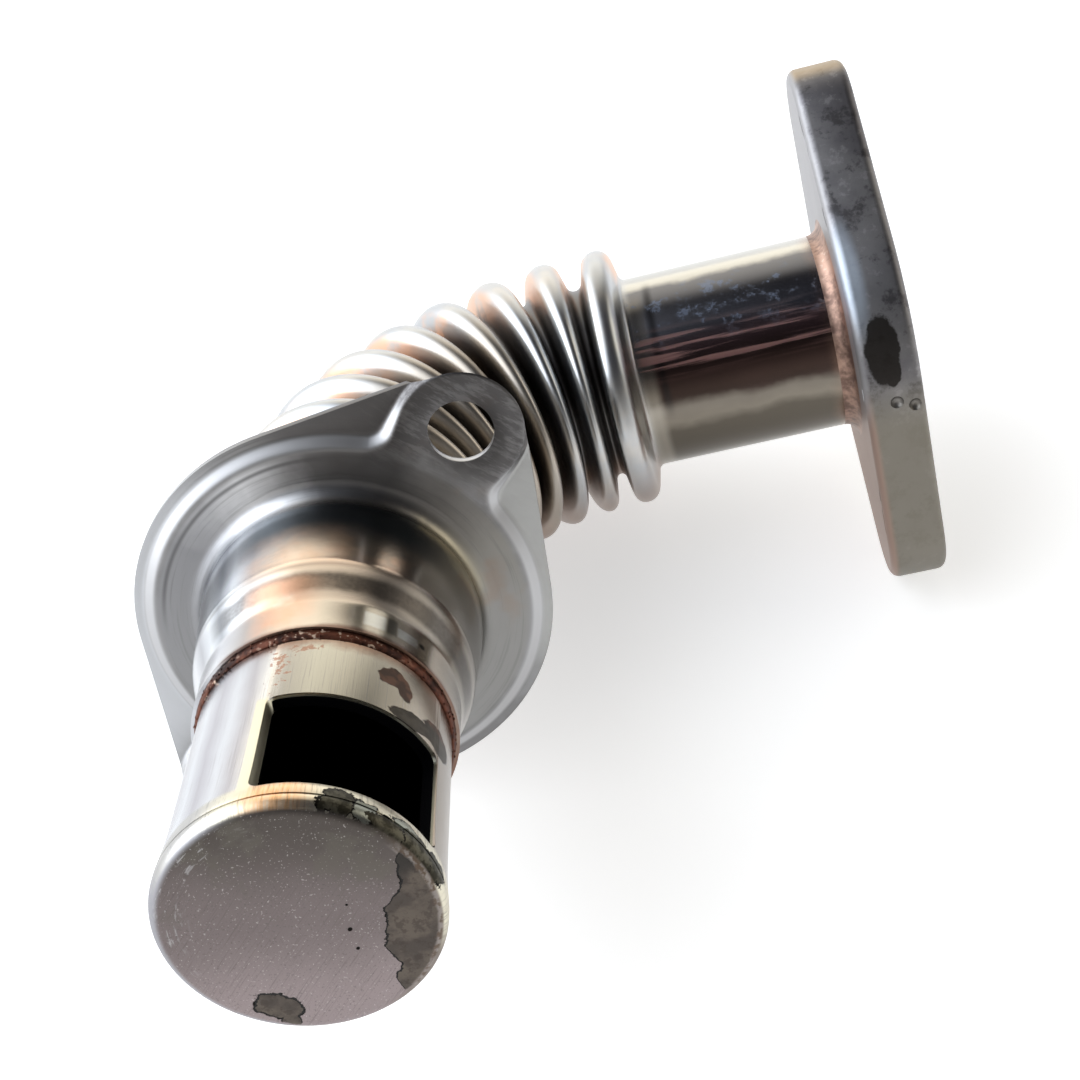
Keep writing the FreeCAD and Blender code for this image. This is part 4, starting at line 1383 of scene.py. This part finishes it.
@dataclass
class PressedFlange:
    """The two-ear sheet flange with its raised pad, ear holes and drawn collar."""

    sheet: float = 0.9
    rise: float = 0.85
    radius: float = 23.2
    ear_distance: float = 26.4
    ear: float = 6.7
    pad: float = 22.0
    arm: float = 7.0
    neck_fillet: float = 1.4
    edge_in: float = 1.5
    edge_width: float = 2.1
    hole: float = 3.5
    foot: float = 15.4
    foot_fillet: float = 2.0
    shoulder: float = 14.7
    shoulder_at: float = 12.8
    neck: float = 13.25
    neck_at: float = 17.6
    end: float = 22.4
    collar_wall: float = 0.7
    segments: int = 256

    def edge_distance(self, x: float, y: float) -> float:
        """How far a point lies outside the pad's outline.

        Args:
            x: along the ears.
            y: across the ears.

        Returns:
            The distance, below zero inside the outline.
        """
        middle = math.hypot(x, y) - self.pad
        reach = max(abs(x) - self.ear_distance, 0.0)
        arm = math.hypot(reach, y) - self.arm
        f = self.neck_fillet
        return max(f, min(middle, arm)) - math.hypot(max(f - middle, 0.0), max(f - arm, 0.0))

    def level(self, x: float, y: float) -> float:
        """Height of the upper side.

        Args:
            x: along the ears.
            y: across the ears.

        Returns:
            The height, zero on the pad.
        """
        plain = min(max((abs(x) - 21.5) / 4.0, 0.0), 1.0)
        t = min(max((self.edge_distance(x, y) + self.edge_in - 1.0 * plain) / (self.edge_width - 1.2 * plain), 0.0),
                1.0)
        return -self.rise * t * t * (3 - 2 * t)

    def collar(self) -> list[Point]:
        """Radius and height of the collar's outside, from the pad up.

        Returns:
            The points from the foot to the neck's end.
        """
        foot = arc((self.foot + self.foot_fillet, self.foot_fillet), self.foot_fillet, 270, 180, 10)
        rest = [(self.foot, self.foot_fillet), (self.foot - 0.05, 4.5), (self.shoulder + 0.05, 11.2),
                (self.shoulder, self.shoulder_at),
                (self.neck + 0.12, self.neck_at - 0.5), (self.neck, self.neck_at + 0.5), (self.neck, self.end)]
        return foot[:-1] + softened(rest, 3)

    def build(self) -> list[bpy.types.Object]:
        """Builds the flange.

        Returns:
            The dressed flange, as the only piece.
        """
        bm = bmesh.new()
        outline = ear_loop(self.radius, self.ear, self.ear_distance)
        inner = [(p.x, p.y) for p in circle(self.foot + self.foot_fillet, 0, self.segments)]
        holes = [[(p.x, p.y) for p in circle(self.hole, 0, 72, side * self.ear_distance)] for side in (1, -1)]
        insets = [self.edge_in - self.edge_width * k / 10 for k in range(11)]
        lines = [necked_loop(self.pad, self.arm, self.ear_distance, self.neck_fillet, inset) for inset in insets]
        plan(bm, outline, [inner, *holes], lines, self.level)
        bmesh.ops.recalc_face_normals(bm, faces=bm.faces)
        if sum(f.normal.z for f in bm.faces) < 0:
            bmesh.ops.reverse_faces(bm, faces=bm.faces)
        loft(bm, [circle(r, z, self.segments) for r, z in self.collar()])
        bmesh.ops.remove_doubles(bm, verts=bm.verts, dist=0.0008)
        weights = [self.collar_wall / self.sheet if v.co.z > self.foot_fillet else 1.0 for v in bm.verts]
        bm.verts.index_update()
        bmesh.ops.recalc_face_normals(bm, faces=bm.faces)
        up = sum(f.normal.z for f in bm.faces if abs(f.calc_center_median().z) < 0.01)
        if up < 0:
            bmesh.ops.reverse_faces(bm, faces=bm.faces)
        bm.transform(Matrix.Scale(METRE, 4) @ NOZZLE)
        mesh = bpy.data.meshes.new("pressed_flange")
        bm.to_mesh(mesh)
        bm.free()
        made = bpy.data.objects.new("drawn_flange", mesh)
        bpy.context.scene.collection.objects.link(made)
        group = made.vertex_groups.new(name="thickness")
        for index, weight in enumerate(weights):
            group.add([index], weight, "REPLACE")
        modifier = made.modifiers.new("sheet", "SOLIDIFY")
        modifier.thickness, modifier.offset = self.sheet * METRE, -1.0
        modifier.vertex_group, modifier.use_even_offset = "thickness", True
        break_edges(made, 0.13, 50.0)
        settle(made, 38.0)
        return [dress(made, SheetFinish().material(), Slot.SHEET, "pressed_flange")]


@dataclass
class CorrugatedPipe:
    """The thin pipe: sleeve, nine convolutions round the bend and a straight stub."""

    radius: float = TUBE_RADIUS
    wall: float = 0.6
    sleeve: float = 13.15
    sleeve_top: float = -16.45
    bend_start: float = 12.45
    bend_deg: float = 92.0
    bend_radius: float = 32.8
    direction_deg: float = -45.0
    count: int = 9
    pitch: float = 6.43
    first: float = 2.1
    crest: float = 17.0
    crest_round: float = 1.9
    root_round: float = 0.85
    end: float = 88.77
    rings: int = 120

    def frame(self) -> Matrix:
        """The bend's frame in the row frame: x into the bend, z up the nozzle.

        Returns:
            The frame.
        """
        a = math.radians(self.direction_deg)
        own = Matrix(((math.cos(a), -math.sin(a), 0, 0), (math.sin(a), math.cos(a), 0, 0), (0, 0, 1, 0), (0, 0, 0, 1)))
        return NOZZLE @ own

    def wave(self, offset: float) -> list[Point]:
        """Length and radius along the convolutions, drawn in by an offset.

        Args:
            offset: how far the line lies inside the outer skin.

        Returns:
            The points in order.
        """
        half = self.pitch / 2
        drop = self.crest - self.radius - self.crest_round - self.root_round
        slope = math.degrees(math.atan2(drop, half)
                             + math.asin((self.crest_round + self.root_round) / math.hypot(half, drop)))
        low = arc((0, self.radius + self.root_round), self.root_round + offset, -90, slope - 90, 6)
        high = arc((half, self.crest - self.crest_round), self.crest_round - offset, slope + 90, 90, 6)
        rising = low + high
        falling = [(self.pitch - x, r) for x, r in reversed(rising[1:-1])]
        points = []
        for n in range(self.count):
            start = self.first + (n - 0.5) * self.pitch
            points += [(start + x, r) for x, r in rising + falling]
        points.append((self.first + (self.count - 0.5) * self.pitch, self.radius - offset))
        return points

    def section(self) -> list[Point]:
        """The wall's closed section as length and radius: outside forward, inside back.

        Returns:
            The points in order.
        """
        step = self.sleeve - self.radius
        outside = [(self.sleeve_top, self.sleeve), (-3.6, self.sleeve), (-2.9, self.sleeve - 0.3 * step),
                   (-2.2, self.radius)] + self.wave(0.0)
        outside += [(u, self.radius) for u in (58.5, 64.0, 72.0, 80.0, self.end - 0.1)]
        outside.append((self.end, self.radius - 0.1))
        inner = [(u, r - self.wall) for u, r in outside[:4]] + self.wave(self.wall)
        inner += [(64.0, self.radius - self.wall), (80.0, self.radius - self.wall), (self.end, self.radius - self.wall)]
        return outside + list(reversed(inner))

    def sweep(self) -> NodeTree:
        """The tree that carries the section round the bend and stores where each point is.

        Returns:
            The finished tree.
        """
        t = NodeTree("pipe round its bend")
        rings = t.number("Rings", self.rings)
        radius = t.number("Bend Radius", self.bend_radius)
        angle = t.number("Bend Angle", math.radians(self.bend_deg))
        start = t.number("Bend Start", self.bend_start)
        section = t.entry.outputs["Geometry"]
        count = t.node("GeometryNodeAttributeDomainSize", {}, {0: section}, "Point Count")
        rows, columns = t.maths("ADD", count, 1), t.maths("ADD", rings, 1)
        grid = t.node("GeometryNodeMeshGrid", {}, {"Vertices X": rows, "Vertices Y": columns})
        index = t.node("GeometryNodeInputIndex", {}, {})
        row = t.maths("FLOOR", t.maths("DIVIDE", t.maths("ADD", index, 0.5), columns))
        column = t.maths("SUBTRACT", index, t.maths("MULTIPLY", row, columns))
        point = t.maths("MODULO", row, count)
        position = t.node("GeometryNodeInputPosition", {}, {})
        read = t.node("GeometryNodeSampleIndex", {"data_type": "FLOAT_VECTOR"},
                      {"Geometry": section, "Value": position, "Index": point})
        parts = t.tree.nodes.new("ShaderNodeSeparateXYZ")
        t.tree.links.new(read, parts.inputs[0])
        u, r = parts.outputs[0], parts.outputs[1]
        turn = t.maths("MULTIPLY", t.maths("DIVIDE", column, rings), math.tau)
        on_bend = t.maths("MINIMUM", t.maths("MAXIMUM", u, 0.0), t.maths("MULTIPLY", radius, angle))
        a = t.maths("DIVIDE", on_bend, radius)
        over = t.maths("SUBTRACT", u, on_bend)
        c, s = t.maths("COSINE", a), t.maths("SINE", a)
        outward = t.maths("MULTIPLY", r, t.maths("COSINE", turn))
        reach = t.maths("ADD", radius, outward)
        x = t.maths("ADD", t.maths("SUBTRACT", radius, t.maths("MULTIPLY", c, reach)), t.maths("MULTIPLY", s, over))
        z = t.maths("SUBTRACT", t.maths("SUBTRACT", t.maths("MULTIPLY", start, -1.0), t.maths("MULTIPLY", s, reach)),
                    t.maths("MULTIPLY", c, over))
        y = t.maths("MULTIPLY", r, t.maths("SINE", turn))
        where = t.node("ShaderNodeCombineXYZ", {}, {0: x, 1: y, 2: z})
        face = t.node("ShaderNodeCombineXYZ", {}, {0: t.maths("COSINE", turn), 1: t.maths("SINE", turn), 2: 0.0})
        shape = grid
        for name, kind, value in (("along", "FLOAT", u), ("radius", "FLOAT", r), ("facing", "FLOAT_VECTOR", face)):
            shape = t.node("GeometryNodeStoreNamedAttribute", {"data_type": kind, "domain": "POINT"},
                           {"Geometry": shape, "Name": name, "Value": value})
        shape = t.node("GeometryNodeSetPosition", {}, {"Geometry": shape, "Position": where})
        shape = t.node("GeometryNodeMergeByDistance", {}, {"Geometry": shape, "Distance": 0.0005})
        t.close(shape)
        return t

    def build(self) -> list[bpy.types.Object]:
        """Builds the pipe.

        Returns:
            The dressed pipe, as the only piece.
        """
        mesh = bpy.data.meshes.new("pipe section")
        points = self.section()
        mesh.from_pydata([(u, r, 0.0) for u, r in points], [(k, (k + 1) % len(points)) for k in range(len(points))], [])
        made = bpy.data.objects.new("polished_pipe", mesh)
        bpy.context.scene.collection.objects.link(made)
        self.sweep().apply(made)
        settle(made, 45.0)
        bm = bmesh.new()
        bm.from_mesh(made.data)
        bm.transform(Matrix.Scale(METRE, 4) @ self.frame())
        bmesh.ops.recalc_face_normals(bm, faces=bm.faces)
        bm.to_mesh(made.data)
        bm.free()
        made.data.set_sharp_from_angle(angle=math.radians(45.0))
        return [dress(made, PipeFinish().material(), Slot.PIPE, "corrugated_pipe")]

    def at(self, u: float) -> Matrix:
        """The frame at a length along the pipe: x out of the bend, z along it.

        Args:
            u: the length along the centre line.

        Returns:
            The frame in the row frame.
        """
        a = math.radians(self.bend_deg)
        c, s = math.cos(a), math.sin(a)
        over = u - a * self.bend_radius
        x = self.bend_radius * (1 - c) + s * over
        z = -self.bend_start - self.bend_radius * s - c * over
        local = Matrix(((-c, 0, s, x), (0, -1, 0, 0), (-s, 0, -c, z), (0, 0, 0, 1)))
        if local.to_3x3().determinant() < 0:
            local = local @ Matrix.Diagonal((1, -1, 1, 1))
        return self.frame() @ local


@dataclass
class ThickFlange:
    """The thick two-bolt flange and the filler ring that holds the stub."""

    pipe: CorrugatedPipe
    thick: float = 7.2
    radius: float = 20.0
    ear: float = 9.3
    distance: float = 24.3
    turn_deg: float = 64.5
    edge: float = 1.2
    bore: float = 11.9
    seat: float = 12.55
    lip: float = 1.0
    hole: float = 3.4
    hole_depth: float = 5.7
    hole_edge: float = 0.5
    back_at: float = 82.57
    punch: float = 0.9
    fillet: float = 1.8

    def frame(self) -> Matrix:
        """The flange's frame in the row frame: x toward one ear, z out of the front face."""
        return self.pipe.at(self.back_at) @ Matrix.Rotation(math.radians(self.turn_deg), 4, "Z")

    def plate(self) -> bpy.types.Object:
        """The flange.

        Returns:
            The dressed flange.
        """
        bm = bmesh.new()
        rounding = [(self.edge * (1 - math.sin(a)), self.edge * (1 - math.cos(a)))
                    for a in (math.pi / 2 * k / 6 for k in range(7))]
        steps = rounding + [(0.0, self.thick / 2)] + [(inset, self.thick - z) for inset, z in reversed(rounding)]
        rings = []
        for inset, z in steps:
            rings.append([Vector((x, y, z)) for x, y in ear_loop(self.radius, self.ear, self.distance, inset)])
        loft(bm, rings)
        rim = ear_loop(self.radius, self.ear, self.distance, self.edge)
        t, e = self.thick, self.hole_edge
        for z, bore in ((0.0, self.seat + 0.3), (t, self.bore + 0.3)):
            openings = [[(p.x, p.y) for p in circle(bore, 0, 192)]]
            if z > 0:
                openings += [[(p.x, p.y) for p in circle(self.hole + e, 0, 64, side * self.distance)]
                             for side in (1, -1)]
            lines = [ear_loop(self.radius, self.ear, self.distance, self.edge + 0.25)]
            plan(bm, rim, openings, lines, lambda x, y, z=z: z)
        for side in (1, -1):
            walls = loft(bm, [circle(r, z, 64, side * self.distance) for r, z in
                              ((self.hole, t - self.hole_depth), (self.hole, t - e), (self.hole + e, t))])
            bm.faces.new(walls[0])
        loft(bm, [circle(r, z, 192) for r, z in ((self.seat + 0.3, 0.0), (self.seat, 0.3), (self.seat, t - self.lip),
                                                  (self.bore, t - self.lip), (self.bore, t - 0.3),
                                                  (self.bore + 0.3, t))])
        made = to_object(bm, "mottled_flange", self.frame())
        cut_away(made, self.punches())
        settle(made)
        return dress(made, FlangeFinish(frame=self.frame()).material(), Slot.FLANGE, "thick_flange")

    def punches(self) -> bpy.types.Object:
        """Two balls that leave the punch marks.

        Returns:
            The balls as one object, which the cut deletes.
        """
        tilt = math.asin((self.radius - self.ear) / self.distance)
        along = Vector((-math.cos(tilt), -math.sin(tilt), 0))
        surface = Vector((-math.sin(tilt), math.cos(tilt), 0)) * (self.radius + 0.4)
        bm = bmesh.new()
        for spot in (surface + along * 2.05 + Vector((0, 0, 3.75)), surface + along * 2.85 + Vector((0, 0, 5.9))):
            bmesh.ops.create_icosphere(bm, subdivisions=4, radius=self.punch, matrix=Matrix.Translation(spot))
        return to_object(bm, "punches", self.frame())

    def ring(self) -> bpy.types.Object:
        """The hollow-cornered ring of filler round the stub.

        Returns:
            The dressed ring.
        """
        r, f = self.pipe.radius, self.fillet
        hollow = arc((r + f, -f), f, 90, 180, 10)
        section = [(r - 0.05, 0.0)] + hollow + [(r - 0.05, -f)]
        bm = bmesh.new()
        loft(bm, [circle(q, z, 240) for q, z in section], looped=True)
        made = to_object(bm, "tinted_stub_braze", self.pipe.at(self.back_at))
        settle(made, 60.0)
        return dress(made, TINTED.material(), Slot.TINTED_BRAZE, "stub_braze")

    def build(self) -> list[bpy.types.Object]:
        """Builds the flange and its ring."""
        return [self.plate(), self.ring()]


# Studio


@dataclass(frozen=True)
class Studio:
    """Pale floor, soft light and a camera where the photograph was taken."""

    eye: tuple[float, float, float] = (-0.005013, -0.120499, 0.169075)
    ahead: tuple[float, float, float] = (0.00508, 0.64349, -0.76543)
    up: tuple[float, float, float] = (0.04071, 0.76468, 0.64311)
    lens: float = 53.453
    sensor: float = 36.0
    heights: tuple[tuple[float, Colour], ...] = (
        (0.0, (0.85, 0.84, 0.82)), (0.16, (0.80, 0.78, 0.74)), (0.40, (0.30, 0.29, 0.28)),
        (0.60, (0.08, 0.08, 0.085)), (0.78, (0.035, 0.035, 0.04)), (1.0, (0.035, 0.035, 0.045)))
    glows: tuple[tuple[tuple[float, float, float], float, Colour], ...] = (
        ((-0.90, 0.05, 0.32), 58.0, (3.3, 3.5, 3.75)), ((-0.10, 0.90, 0.30), 42.0, (1.1, 1.04, 0.92)),
        ((0.85, 0.25, 0.42), 28.0, (1.6, 1.5, 1.3)))
    lift: float = 0.55

    def camera(self) -> None:
        """Sets the camera."""
        data = bpy.data.cameras.new("photograph")
        data.lens, data.sensor_width, data.clip_start, data.clip_end = self.lens, self.sensor, 0.005, 50.0
        made = bpy.data.objects.new("photograph", data)
        bpy.context.scene.collection.objects.link(made)
        ahead, up = Vector(self.ahead).normalized(), Vector(self.up)
        right = ahead.cross(up).normalized()
        up = right.cross(ahead)
        turn = Matrix((right, up, -ahead)).transposed().to_4x4()
        made.matrix_world = Matrix.Translation(self.eye) @ turn
        bpy.context.scene.camera = made

    def floor(self) -> None:
        """Lays the floor."""
        bm = bmesh.new()
        bmesh.ops.create_grid(bm, x_segments=1, y_segments=1, size=6.0)
        mesh = bpy.data.meshes.new("floor")
        bm.to_mesh(mesh)
        bm.free()
        made = bpy.data.objects.new("floor", mesh)
        made.location.z = -0.0002
        bpy.context.scene.collection.objects.link(made)
        g = Graph("pale floor")
        rays = [g.node("ShaderNodeLightPath", {}, {}, name)
                for name in ("Is Camera Ray", "Is Glossy Ray", "Is Transmission Ray")]
        g.feed(g.shader.inputs["Emission Color"], (1.0, 1.0, 1.0))
        g.feed(g.shader.inputs["Emission Strength"], rays[0].highest(rays[1]).highest(rays[2]) * self.lift)
        mesh.materials.append(g.finish((0.86, 0.86, 0.86), 0.7, 0.0))

    def glow(self, tree: bpy.types.NodeTree, where: bpy.types.NodeSocket, toward: tuple[float, float, float],
             wide_deg: float,
             colour: Colour) -> bpy.types.NodeSocket:
        """A soft round glow in the sky.

        Args:
            tree: the world's nodes.
            where: the direction looked in.
            toward: the middle of the glow.
            wide_deg: its half width.
            colour: its brightest colour.

        Returns:
            The glow's colour.
        """
        dot = tree.nodes.new("ShaderNodeVectorMath")
        dot.operation = "DOT_PRODUCT"
        tree.links.new(where, dot.inputs[0])
        dot.inputs[1].default_value = Vector(toward).normalized()
        shape = tree.nodes.new("ShaderNodeMapRange")
        shape.interpolation_type = "SMOOTHSTEP"
        shape.inputs[1].default_value = math.cos(math.radians(wide_deg))
        shape.inputs[2].default_value = math.cos(math.radians(wide_deg * 0.35))
        tree.links.new(dot.outputs["Value"], shape.inputs[0])
        tint = tree.nodes.new("ShaderNodeVectorMath")
        tint.operation = "SCALE"
        tint.inputs[0].default_value = colour
        tree.links.new(shape.outputs[0], tint.inputs["Scale"])
        return tint.outputs[0]

    def sky(self) -> None:
        """A pale horizon under a dark ceiling, with soft glows where the room's windows are."""
        world = bpy.data.worlds.new("studio")
        world.use_nodes = True
        tree = world.node_tree
        tree.nodes.clear()
        out = tree.nodes.new("ShaderNodeOutputWorld")
        back = tree.nodes.new("ShaderNodeBackground")
        ramp = tree.nodes.new("ShaderNodeValToRGB")
        split = tree.nodes.new("ShaderNodeSeparateXYZ")
        where = tree.nodes.new("ShaderNodeTexCoord").outputs["Generated"]
        tree.links.new(where, split.inputs[0])
        tree.links.new(split.outputs[2], ramp.inputs[0])
        elements = ramp.color_ramp.elements
        while len(elements) < len(self.heights):
            elements.new(0.5)
        for element, (place, colour) in zip(elements, self.heights):
            element.position, element.color = place, (*colour, 1.0)
        total = ramp.outputs[0]
        for toward, wide_deg, colour in self.glows:
            add = tree.nodes.new("ShaderNodeVectorMath")
            tree.links.new(total, add.inputs[0])
            tree.links.new(self.glow(tree, where, toward, wide_deg, colour), add.inputs[1])
            total = add.outputs[0]
        tree.links.new(total, back.inputs[0])
        tree.links.new(back.outputs[0], out.inputs[0])
        bpy.context.scene.world = world

    def build(self) -> None:
        """Sets the whole studio."""
        self.camera()
        self.floor()
        self.sky()
        bpy.context.scene.view_settings.view_transform = "Standard"


def main() -> None:
    """Builds the studio and the pieces in order."""
    logging.basicConfig(level=logging.INFO, format="%(message)s")
    Studio().build()
    pipe = CorrugatedPipe()
    for assembly in (Nozzle(), PressedFlange(), pipe, ThickFlange(pipe)):
        for piece in assembly.build():
            LOG.info("built %s", piece.name)


if __name__ == "__main__":
    main()
